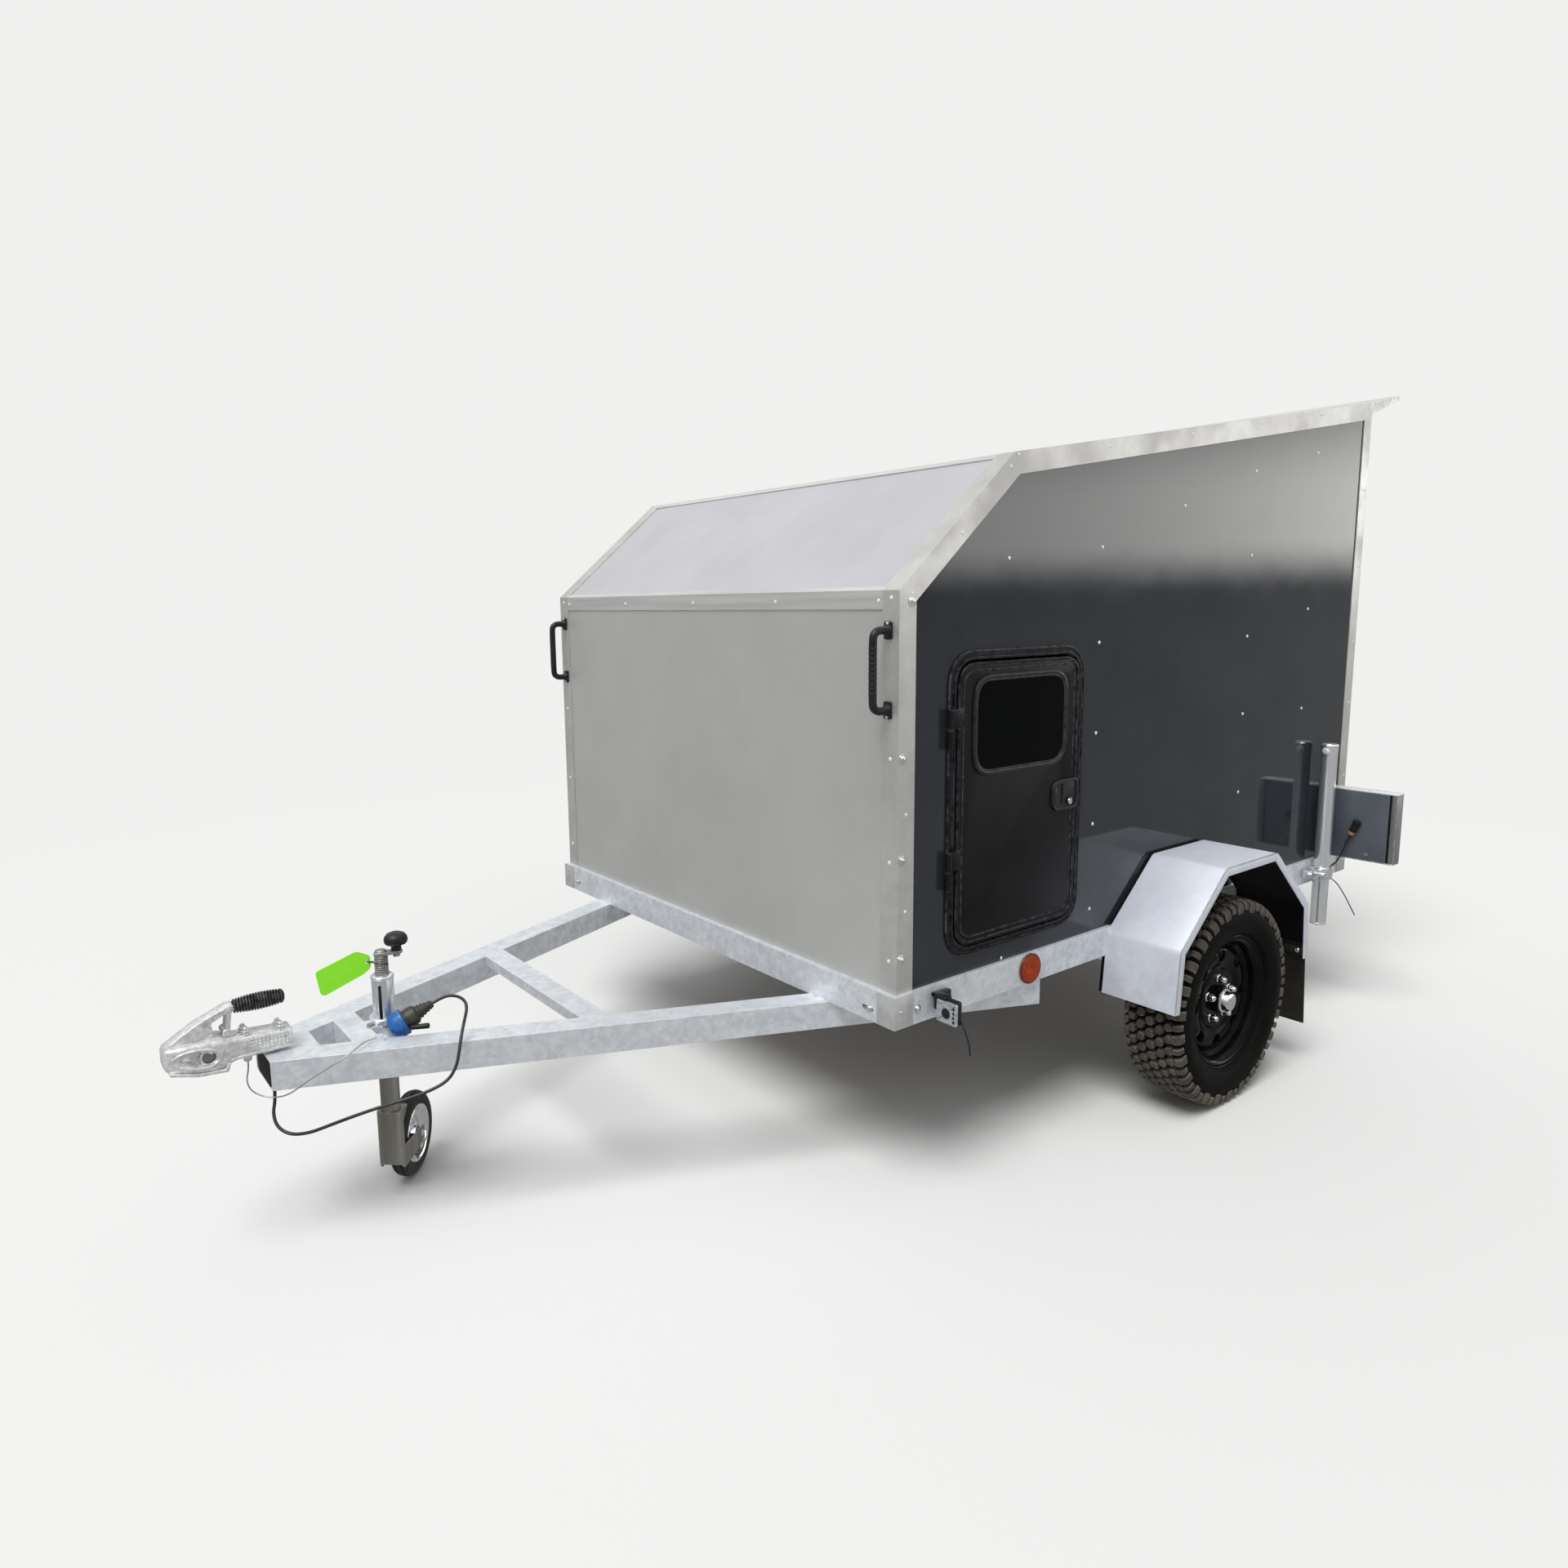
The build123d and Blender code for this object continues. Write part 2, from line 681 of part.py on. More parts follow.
knob_x = jockey_x + crank_length * cos(radians(crank_angle))
knob_y = crank_length * sin(radians(crank_angle))
crank_arm_z = jockey_outer_top + crank_neck
crank_arm_top = crank_arm_z + crank_arm_metal
with BuildPart() as jockey_crank:
    with BuildSketch(Plane.XY.offset(jockey_outer_top)):
        with Locations((jockey_x, 0)):
            Circle(jockey_outer_radius - 2.0)
    extrude(amount=crank_cap_height)
    with BuildSketch(Plane.XY.offset(jockey_outer_top)):
        with Locations((jockey_x, 0)):
            Circle(crank_neck_radius)
    extrude(amount=crank_neck)
    with BuildSketch(Plane.XY.offset(crank_arm_z)):
        with Locations(((jockey_x + knob_x) / 2, knob_y / 2)):
            SlotCenterToCenter(crank_length, crank_arm_width, rotation=crank_angle)
    extrude(amount=crank_arm_metal)
    with BuildSketch(Plane.XY.offset(crank_arm_top)):
        with Locations((knob_x, knob_y)):
            Circle(knob_stem_radius)
    extrude(amount=knob_stem)
    with BuildSketch(Plane.XY.offset(crank_arm_top + knob_stem)):
        with Locations((knob_x, knob_y)):
            Circle(knob_radius)
    extrude(amount=knob_height)
    fillet(jockey_crank.edges().group_by(Axis.Z)[-1], radius=knob_round)
keep(jockey_crank.part, "jockey_crank")

with BuildPart() as jockey_leg:
    with BuildSketch(Plane.XY.offset(jockey_leg_bottom)):
        with Locations((jockey_x, 0)):
            Circle(jockey_leg_radius)
            Circle(jockey_pin_radius + bearing_clearance, mode=Mode.SUBTRACT)
    extrude(amount=jockey_leg_top - jockey_leg_bottom)
    with BuildSketch(Plane.XY.offset(jockey_leg_bottom + jockey_pin_length + 4.0)):
        with Locations((jockey_x, 0)):
            Circle(jockey_leg_radius - jockey_tube_wall)
    extrude(amount=jockey_leg_top - jockey_leg_bottom, mode=Mode.SUBTRACT)
keep(jockey_leg.part, "jockey_leg")

castor_x = cos(radians(jockey_castor_angle))
castor_y = sin(radians(jockey_castor_angle))
jockey_wheel_x = jockey_x + jockey_castor * castor_x
jockey_wheel_y = jockey_castor * castor_y
fork_inner = jockey_wheel_width / 2 + jockey_fork_gap
fork_outer = fork_inner + jockey_fork_metal
fork_top = jockey_leg_bottom - jockey_fork_seat
fork_front = -jockey_leg_radius


def castor_side_plane(offset):
    """A plane along the trailing direction, this far to the side of the castor's middle."""
    return Plane(
        origin=(jockey_x - offset * castor_y, offset * castor_x, 0),
        x_dir=(castor_x, castor_y, 0),
        z_dir=(castor_y, -castor_x, 0),
    )


fork_channel_back = fork_front + jockey_fork_depth
fork_end = jockey_castor + jockey_arm_end
with BuildPart() as jockey_fork:
    with BuildSketch(castor_side_plane(fork_outer)):
        with BuildLine():
            Polyline(
                (fork_front, fork_top),
                (fork_front, jockey_fork_bottom + jockey_fork_toe),
                (fork_front + jockey_fork_toe, jockey_fork_bottom),
                (jockey_castor - jockey_arm_heel, jockey_fork_bottom),
                (fork_end, jockey_wheel_radius - jockey_arm_end),
                (fork_end, jockey_wheel_radius + jockey_arm_end),
                (fork_channel_back, jockey_wheel_radius + jockey_arm_start),
                (fork_channel_back, fork_top - jockey_fork_crown_height),
                (jockey_fork_crown, fork_top - jockey_fork_metal),
                (jockey_fork_crown, fork_top),
                close=True,
            )
        make_face()
    extrude(amount=2 * fork_outer)
    front_edges = [
        edge
        for edge in jockey_fork.edges()
        if (edge.center().X - jockey_x) * castor_x + edge.center().Y * castor_y < fork_front + 0.1
    ]
    uprights = [edge for edge in front_edges if abs(edge.tangent_at(0).Z) > 0.9]
    fillet(uprights, radius=jockey_fork_corner)
    with BuildSketch(castor_side_plane(fork_inner)):
        with BuildLine():
            Polyline(
                (fork_front + jockey_fork_metal, fork_top - jockey_fork_metal),
                (fork_front + jockey_fork_metal, jockey_fork_bottom - cut_margin),
                (jockey_castor + jockey_wheel_width, jockey_fork_bottom - cut_margin),
                (jockey_castor + jockey_wheel_width, fork_top - jockey_fork_metal),
                close=True,
            )
        make_face()
    extrude(amount=2 * fork_inner, mode=Mode.SUBTRACT)
    with BuildSketch(castor_side_plane(fork_outer)):
        with Locations((jockey_castor, jockey_wheel_radius)):
            Circle(jockey_axle_radius)
    extrude(amount=2 * fork_outer)
    with BuildSketch(Plane.XY.offset(fork_top)):
        with Locations((jockey_x, 0)):
            Circle(jockey_pin_radius)
    extrude(amount=jockey_pin_length)
keep(jockey_fork.part, "jockey_fork")

jockey_axis = Axis((jockey_wheel_x, jockey_wheel_y, jockey_wheel_radius), (-castor_y, castor_x, 0))
jockey_section = Plane(
    origin=(jockey_wheel_x, jockey_wheel_y, jockey_wheel_radius),
    x_dir=(-castor_y, castor_x, 0),
    z_dir=(castor_x, castor_y, 0),
)
half_tread = jockey_wheel_width / 2
rim_side = half_tread - 1.0
hub_side = half_tread + 1.0
shoulder_radius = jockey_wheel_radius - jockey_shoulder
with BuildPart() as jockey_rim:
    with BuildSketch(jockey_section):
        with BuildLine():
            Polyline(
                (-hub_side, jockey_axle_radius + bearing_clearance),
                (-hub_side, 15.0),
                (-5.0, jockey_rim_hub_radius),
                (-5.0, jockey_rim_edge_radius),
                (-rim_side, jockey_rim_radius - 6.0),
                (-rim_side, jockey_rim_radius),
                (rim_side, jockey_rim_radius),
                (rim_side, jockey_rim_radius - 6.0),
                (5.0, jockey_rim_edge_radius),
                (5.0, jockey_rim_hub_radius),
                (hub_side, 15.0),
                (hub_side, jockey_axle_radius + bearing_clearance),
                close=True,
            )
        make_face()
    revolve(axis=jockey_axis)
keep(jockey_rim.part, "jockey_rim")

with BuildPart() as jockey_tyre:
    with BuildSketch(jockey_section):
        with BuildLine():
            crown = Polyline(
                (-half_tread, shoulder_radius),
                (-half_tread, jockey_rim_radius),
                (half_tread, jockey_rim_radius),
                (half_tread, shoulder_radius),
            )
            ThreePointArc(crown @ 1, (0, jockey_wheel_radius), crown @ 0)
        make_face()
    revolve(axis=jockey_axis)
keep(jockey_tyre.part, "jockey_tyre")

# ---- Axle, suspension arms and wheels ----------------------------------------------------
axle_x = wheel_x + axle_lead
axle_z = chassis_bottom - axle_section / 2
arm_inner_y = rail_outer_y - axle_end_inset
arm_outer_y = arm_inner_y + arm_thickness
with BuildPart() as axle_beam:
    with BuildSketch(Plane(origin=(axle_x, -arm_inner_y, axle_z), x_dir=(1, 0, 0), z_dir=(0, 1, 0))):
        box_section(axle_section, axle_section, axle_wall)
    extrude(amount=2 * arm_inner_y)
keep(axle_beam.part, "axle_beam")

mount_face_y = wheel_y + rim_disc_offset            # rim disc's outer face
disc_back_y = mount_face_y - rim_metal
arm_drop = axle_z - wheel_z
arm_span = hypot(axle_lead, arm_drop)
arm_tilt = degrees(atan2(arm_drop, axle_lead))
stub_end_y = disc_back_y - stub_end_gap
with BuildPart() as suspension_arms:
    for side in (1, -1):
        with BuildSketch(side_plane(side * arm_inner_y)):
            with Locations(((axle_x + wheel_x) / 2, (axle_z + wheel_z) / 2)):
                SlotCenterToCenter(arm_span, arm_height, rotation=arm_tilt)
        extrude(amount=-side * arm_thickness)
        with BuildSketch(side_plane(side * arm_outer_y)):
            with Locations((wheel_x, wheel_z)):
                Circle(stub_radius)
        extrude(amount=-side * (stub_end_y - arm_outer_y))
keep(suspension_arms.part, "suspension_arms")

hub_inner_y = wheel_y - hub_half_length
flange_back_y = disc_back_y - hub_flange_thickness
cap_step_y = mount_face_y + stub_end_gap
half_rim = rim_width / 2
rim_edge = half_rim + rim_flange_metal      # outer face of each rim flange
cap_end_y = wheel_y + half_rim + 10.0
cap_base_radius = hub_cap_radius + hub_cap_step
stub_bore = stub_radius + bearing_clearance
barrel_radius = rim_seat_radius - rim_metal
well_radius = rim_seat_radius - rim_well_depth
well_inner_radius = well_radius - rim_metal
disc_hole_radius = cap_base_radius + 1.0
tyre_half = tyre_width / 2
bead_radius = rim_flange_radius + 2.0       # the side wall starts just outside the flange
wall_foot_radius = rim_flange_radius + 14.0
shoulder_z = tyre_radius - tyre_shoulder
tread_edge_radius = tyre_radius - tread_crown
for side, name in ((1, "left"), (-1, "right")):
    section = axial_plane(wheel_x, 0, wheel_z)
    axle_line = Axis((wheel_x, 0, wheel_z), (0, 1, 0))
    with BuildPart() as hub:
        with BuildSketch(section):
            with BuildLine():
                Polyline(
                    (side * hub_inner_y, stub_bore),
                    (side * hub_inner_y, hub_radius),
                    (side * flange_back_y, hub_radius),
                    (side * flange_back_y, hub_flange_radius),
                    (side * disc_back_y, hub_flange_radius),
                    (side * disc_back_y, cap_base_radius),
                    (side * cap_step_y, cap_base_radius),
                    (side * cap_step_y, hub_cap_radius),
                    (side * (cap_end_y - hub_cap_step), hub_cap_radius - hub_cap_step),
                    (side * cap_end_y, hub_cap_radius - 3 * hub_cap_step),
                    (side * cap_end_y, 0),
                    (side * (stub_end_y + hub_end_gap), 0),
                    (side * (stub_end_y + hub_end_gap), stub_bore),
                    close=True,
                )
            make_face()
        revolve(axis=axle_line)
        with BuildSketch(side_plane(side * disc_back_y)):
            with Locations((wheel_x, wheel_z)):
                with PolarLocations(bolt_circle / 2, bolt_count, start_angle=90):
                    Circle(stud_radius)
        extrude(amount=-side * (rim_metal + stud_length))
        with BuildSketch(side_plane(side * mount_face_y)):
            with Locations((wheel_x, wheel_z)):
                with PolarLocations(bolt_circle / 2, bolt_count, start_angle=90):
                    RegularPolygon(nut_radius, 6)
        extrude(amount=-side * nut_height)
    keep(hub.part, f"hub_{name}")

    with BuildPart() as rim:
        with BuildSketch(section):
            with BuildLine():
                Polyline(
                    (side * (wheel_y - rim_edge), barrel_radius),
                    (side * (wheel_y - rim_edge), rim_flange_radius),
                    (side * (wheel_y - half_rim), rim_flange_radius),
                    (side * (wheel_y - half_rim), rim_seat_radius),
                    (side * (wheel_y - 38.0), rim_seat_radius),
                    (side * (wheel_y - 30.0), well_radius),
                    (side * (wheel_y + 6.0), well_radius),
                    (side * (wheel_y + 16.0), rim_seat_radius),
                    (side * (wheel_y + half_rim), rim_seat_radius),
                    (side * (wheel_y + half_rim), rim_flange_radius),
                    (side * (wheel_y + rim_edge), rim_flange_radius),
                    (side * (wheel_y + rim_edge), barrel_radius),
                    (side * (mount_face_y + 8.0), barrel_radius),
                    (side * (mount_face_y + rim_disc_dish), rim_disc_radius),
                    (side * mount_face_y, rim_boss_radius),
                    (side * mount_face_y, disc_hole_radius),
                    (side * disc_back_y, disc_hole_radius),
                    (side * disc_back_y, rim_boss_radius + 2.0),
                    (side * (disc_back_y + rim_disc_dish), rim_disc_radius + 2.0),
                    (side * (disc_back_y + 7.0), barrel_radius),
                    (side * (wheel_y + 18.0), barrel_radius),
                    (side * (wheel_y + 8.0), well_inner_radius),
                    (side * (wheel_y - 32.0), well_inner_radius),
                    (side * (wheel_y - 40.0), barrel_radius),
                    close=True,
                )
            make_face()
        revolve(axis=axle_line)
        with BuildSketch(side_plane(side * (disc_back_y - cut_margin))):
            with Locations((wheel_x, wheel_z)):
                with PolarLocations(bolt_circle / 2, bolt_count, start_angle=90):
                    Circle(stud_radius + stud_clearance)
        extrude(amount=-side * (rim_metal + 2 * cut_margin), mode=Mode.SUBTRACT)
    keep(rim.part, f"rim_{name}")

    with BuildPart() as tyre:
        with BuildSketch(section):
            with BuildLine():
                low = Polyline(
                    (side * (wheel_y - tyre_half + 4.0), wall_foot_radius),
                    (side * (wheel_y - half_rim), bead_radius),
                    (side * (wheel_y - half_rim), rim_seat_radius),
                    (side * (wheel_y + half_rim), rim_seat_radius),
                    (side * (wheel_y + half_rim), bead_radius),
                    (side * (wheel_y + tyre_half - 4.0), wall_foot_radius),
                )
                outer_wall = ThreePointArc(
                    low @ 1,
                    (side * (wheel_y + tyre_half), tyre_bulge_radius),
                    (side * (wheel_y + tyre_half - 6.0), shoulder_z),
                )
                inner_wall = ThreePointArc(
                    low @ 0,
                    (side * (wheel_y - tyre_half), tyre_bulge_radius),
                    (side * (wheel_y - tyre_half + 6.0), shoulder_z),
                )
                Polyline(
                    outer_wall @ 1,
                    (side * (wheel_y + tyre_half - 16.0), tread_edge_radius),
                    (side * (wheel_y + tread_half), tyre_radius),
                    (side * (wheel_y - tread_half), tyre_radius),
                    (side * (wheel_y - tyre_half + 16.0), tread_edge_radius),
                    inner_wall @ 1,
                )
            make_face()
        revolve(axis=axle_line)
    keep(tyre.part, f"tyre_{name}")

# ---- Mudguards ---------------------------------------------------------------------------
mudguard_x = front_x - mudguard_setback
mudguard_line = [
    (mudguard_x + mudguard_foot_half, mudguard_foot_z),
    (mudguard_x + mudguard_knee_half, mudguard_knee_z),
    (mudguard_x + mudguard_top_half, mudguard_top_z),
    (mudguard_x - mudguard_top_half, mudguard_top_z),
    (mudguard_x - mudguard_knee_half, mudguard_knee_z),
    (mudguard_x - mudguard_foot_half, mudguard_foot_z),
]


def inside_line(corners, depth):
    """An open bent line moved to its left by a depth, keeping its bends mitred."""
    sides = []
    for i in range(len(corners) - 1):
        ax, az = corners[i]
        bx, bz = corners[i + 1]
        run = hypot(bx - ax, bz - az)
        ux, uz = (bx - ax) / run, (bz - az) / run
        sides.append((ax - uz * depth, az + ux * depth, ux, uz, run))
    moved = [(sides[0][0], sides[0][1])]
    for i in range(1, len(sides)):
        px, pz, ux, uz, run = sides[i - 1]
        qx, qz, vx, vz, run = sides[i]
        along = ((qx - px) * vz - (qz - pz) * vx) / (ux * vz - uz * vx)
        moved.append((px + ux * along, pz + uz * along))
    px, pz, ux, uz, run = sides[-1]
    moved.append((px + ux * run, pz + uz * run))
    return moved


def bent_strip(corners, depth):
    """Outline of a bent strip of this depth, on the left of an open line."""
    return corners + inside_line(corners, depth)[::-1]


for side, name in ((1, "left"), (-1, "right")):
    with BuildPart() as mudguard:
        with BuildSketch(side_plane(side * rail_outer_y)):
            with BuildLine():
                Polyline(*bent_strip(mudguard_line, mudguard_metal), close=True)
            make_face()
        extrude(amount=-side * (mudguard_outer_y - rail_outer_y))
        with BuildSketch(side_plane(side * (mudguard_outer_y - mudguard_metal))):
            with BuildLine():
                Polyline(*bent_strip(mudguard_line, mudguard_lip), close=True)
            make_face()
        extrude(amount=-side * mudguard_metal)
    keep(mudguard.part, f"mudguard_{name}")

knee_x, knee_z = mudguard_line[-2]
foot_x, foot_z = mudguard_line[-1]
rear_run = hypot(foot_x - knee_x, foot_z - knee_z)
down_x, down_z = (foot_x - knee_x) / rear_run, (foot_z - knee_z) / rear_run
flap_line = [
    (foot_x - down_x * mudflap_overlap, foot_z - down_z * mudflap_overlap),
    (foot_x + down_x * mudflap_drop, foot_z + down_z * mudflap_drop),
]
flap_front = inside_line(flap_line, mudguard_metal)
flap_outline = flap_front + inside_line(flap_line, mudguard_metal + mudflap_thickness)[::-1]
with BuildPart() as mudflaps:
    for side in (1, -1):
        with BuildSketch(side_plane(side * (rail_outer_y + mudflap_inset))):
            with BuildLine():
                Polyline(*flap_outline, close=True)
            make_face()
        flap_outer_y = mudguard_outer_y - mudguard_metal - mudflap_edge_gap
        extrude(amount=-side * (flap_outer_y - rail_outer_y - mudflap_inset))
keep(mudflaps.part, "mudflaps")

# ---- Body panels -------------------------------------------------------------------------
outer = side_profile(trim_thickness)
inner = side_profile(trim_thickness + wall_thickness)
trim_outer = side_profile(0.0)
trim_inner = side_profile(trim_width)
door_x = front_x - door_setback
opening_width = door_width - 2 * door_frame_width
opening_height = door_height - 2 * door_frame_width
opening_corner = door_corner - door_frame_width

for side, name in ((1, "left"), (-1, "right")):
    with BuildPart() as wall:
        with BuildSketch(side_plane(side * wall_inner_y)):
            with BuildLine():
                Polyline(*outer, close=True)
            make_face()
            with Locations((door_x, door_middle_z)):
                RectangleRounded(
                    opening_width, opening_height, opening_corner, mode=Mode.SUBTRACT
                )
        extrude(amount=-side * wall_thickness)
    keep(wall.part, f"side_wall_{name}")

roof_end_x = rear_x + trim_thickness


def roof_line_z(line, x):
    """Height of the roof line of a side outline at some X."""
    (ax, az), (bx, bz) = line[2], line[3]
    return az + (bz - az) * (x - ax) / (bx - ax)


keep(
    plate_along_y([outer[0], outer[1], inner[1], inner[0]], -wall_inner_y, wall_inner_y),
    "front_wall",
)
keep(
    plate_along_y([outer[1], outer[2], inner[2], inner[1]], -wall_inner_y, wall_inner_y),
    "sloped_panel",
)
roof_corners = [outer[2], outer[3], (roof_end_x, roof_line_z(inner, roof_end_x)), inner[2]]
keep(plate_along_y(roof_corners, -wall_inner_y, wall_inner_y), "roof_panel")

floor_front_x = front_x - trim_thickness - wall_thickness
floor_rear_x = rear_x + wall_thickness + hatch_gap
with BuildPart() as floor_panel:
    with BuildSketch(Plane.XY.offset(chassis_top)):
        with Locations(((floor_front_x + floor_rear_x) / 2, 0)):
            Rectangle(floor_front_x - floor_rear_x, 2 * wall_inner_y)
    extrude(amount=floor_thickness)
keep(floor_panel.part, "floor_panel")

# ---- Edge trims --------------------------------------------------------------------------
band_inner = [
    (trim_inner[0][0], chassis_top - 1.0),
    trim_inner[1],
    trim_inner[2],
    trim_inner[3],
    (trim_inner[4][0], chassis_top - 1.0),
]
skin_inner = [
    (outer[0][0], chassis_top - 1.0),
    outer[1],
    outer[2],
    outer[3],
    (outer[4][0], chassis_top - 1.0),
]
trim_leg_y = half_width - trim_width
for side, name in ((1, "left"), (-1, "right")):
    with BuildPart() as edge_trim:
        with BuildSketch(side_plane(side * wall_outer_y)):
            with BuildLine():
                Polyline(*trim_outer, close=True)
            make_face()
            with BuildLine():
                Polyline(*band_inner, close=True)
            make_face(mode=Mode.SUBTRACT)
        extrude(amount=-side * trim_thickness)
        with BuildSketch(side_plane(side * trim_leg_y)):
            with BuildLine():
                Polyline(*trim_outer, close=True)
            make_face()
            with BuildLine():
                Polyline(*skin_inner, close=True)
            make_face(mode=Mode.SUBTRACT)
        extrude(amount=-side * trim_width)
    keep(edge_trim.part, f"edge_trim_{name}")


def corner_strip(index, before, after):
    """Outline of a bent strip over one corner of the side outline."""
    outline = []
    for line in (trim_outer, outer):
        px, pz = line[index - 1]
        cx, cz = line[index]
        nx, nz = line[index + 1]
        back = hypot(px - cx, pz - cz)
        ahead = hypot(nx - cx, nz - cz)
        first = (cx + (px - cx) * before / back, cz + (pz - cz) * before / back)
        last = (cx + (nx - cx) * after / ahead, cz + (nz - cz) * after / ahead)
        outline.append([first, (cx, cz), last])
    return outline[0] + outline[1][::-1]


header_z = trim_outer[3][1] - trim_width
hatch_hinge_z = header_z - hatch_gap / 2
knuckle_length = hatch_hinge_length / 3
cross_trim_strips = [
    corner_strip(1, cross_trim_width, 12.0),
    corner_strip(2, 16.0, cross_trim_width),
    corner_strip(3, cross_trim_width, trim_width),
]
with BuildPart() as cross_trims:
    for strip in cross_trim_strips:
        with BuildSketch(side_plane(trim_leg_y)):
            with BuildLine():
                Polyline(*strip, close=True)
            make_face()
        extrude(amount=2 * trim_leg_y)
    for hinge_y in hatch_hinge_places:
        with BuildSketch(side_plane(hinge_y + knuckle_length / 2)):
            with Locations((rear_x - hatch_hinge_radius, hatch_hinge_z)):
                Circle(hatch_hinge_radius)
            with Locations((rear_x - hatch_hinge_leaf_metal / 2, hatch_hinge_z + 7.0)):
                Rectangle(hatch_hinge_leaf_metal, 14.0)
        extrude(amount=knuckle_length)
keep(cross_trims.part, "cross_trims")

lip_top_z = trim_outer[3][1]
lip_end_x = rear_x - lip_reach
lip_end_z = lip_top_z + lip_kick
lip_corners = [
    (rear_x, lip_top_z - lip_root),
    (rear_x, lip_top_z),
    (lip_end_x, lip_end_z),
    (lip_end_x, lip_end_z - lip_tip),
]
lip_hollow = [
    (rear_x + cut_margin, lip_top_z - lip_root + lip_metal),
    (rear_x + cut_margin, lip_top_z - lip_metal),
    (lip_end_x + lip_metal, lip_end_z - lip_metal),
    (lip_end_x + lip_metal, lip_end_z - lip_tip + lip_metal),
]
with BuildPart() as roof_lip:
    with BuildSketch(side_plane(half_width)):
        with BuildLine():
            Polyline(*lip_corners, close=True)
        make_face()
    extrude(amount=body_width)
    with BuildSketch(side_plane(half_width - lip_metal)):
        with BuildLine():
            Polyline(*lip_hollow, close=True)
        make_face()
    extrude(amount=body_width - 2 * lip_metal, mode=Mode.SUBTRACT)
keep(roof_lip.part, "roof_lip")

# ---- Rear hatch --------------------------------------------------------------------------
hatch_top_z = header_z - hatch_gap
hatch_bottom_z = chassis_top + hatch_gap
hatch_half = trim_leg_y - hatch_gap
with BuildPart() as rear_hatch:
    with BuildSketch(Plane(origin=(rear_x, 0, 0), x_dir=(0, 1, 0), z_dir=(1, 0, 0))):
        with Locations((0, (hatch_top_z + hatch_bottom_z) / 2)):
            Rectangle(2 * hatch_half, hatch_top_z - hatch_bottom_z)
    extrude(amount=wall_thickness)
    leaf_drop = hatch_hinge_leaf_height / 2
    for hinge_y in hatch_hinge_places:
        for step in (-1, 1):
            knuckle_end = hinge_y + (step + 0.5) * knuckle_length - hatch_hinge_gap
            with BuildSketch(side_plane(knuckle_end)):
                with Locations((rear_x - hatch_hinge_radius, hatch_hinge_z)):
                    Circle(hatch_hinge_radius)
                with Locations((rear_x - hatch_hinge_leaf_metal / 2, hatch_hinge_z - leaf_drop)):
                    Rectangle(hatch_hinge_leaf_metal, hatch_hinge_leaf_height)
            extrude(amount=knuckle_length - 2 * hatch_hinge_gap)
    with BuildSketch(Plane(origin=(rear_x, 0, 0), x_dir=(0, 1, 0), z_dir=(1, 0, 0))):
        for side in (1, -1):
            with Locations((side * hatch_lock_y, hatch_bottom_z + hatch_lock_rise)):
                RectangleRounded(lock_width, lock_height, lock_corner)
    extrude(amount=-lock_proud)
keep(rear_hatch.part, "rear_hatch")

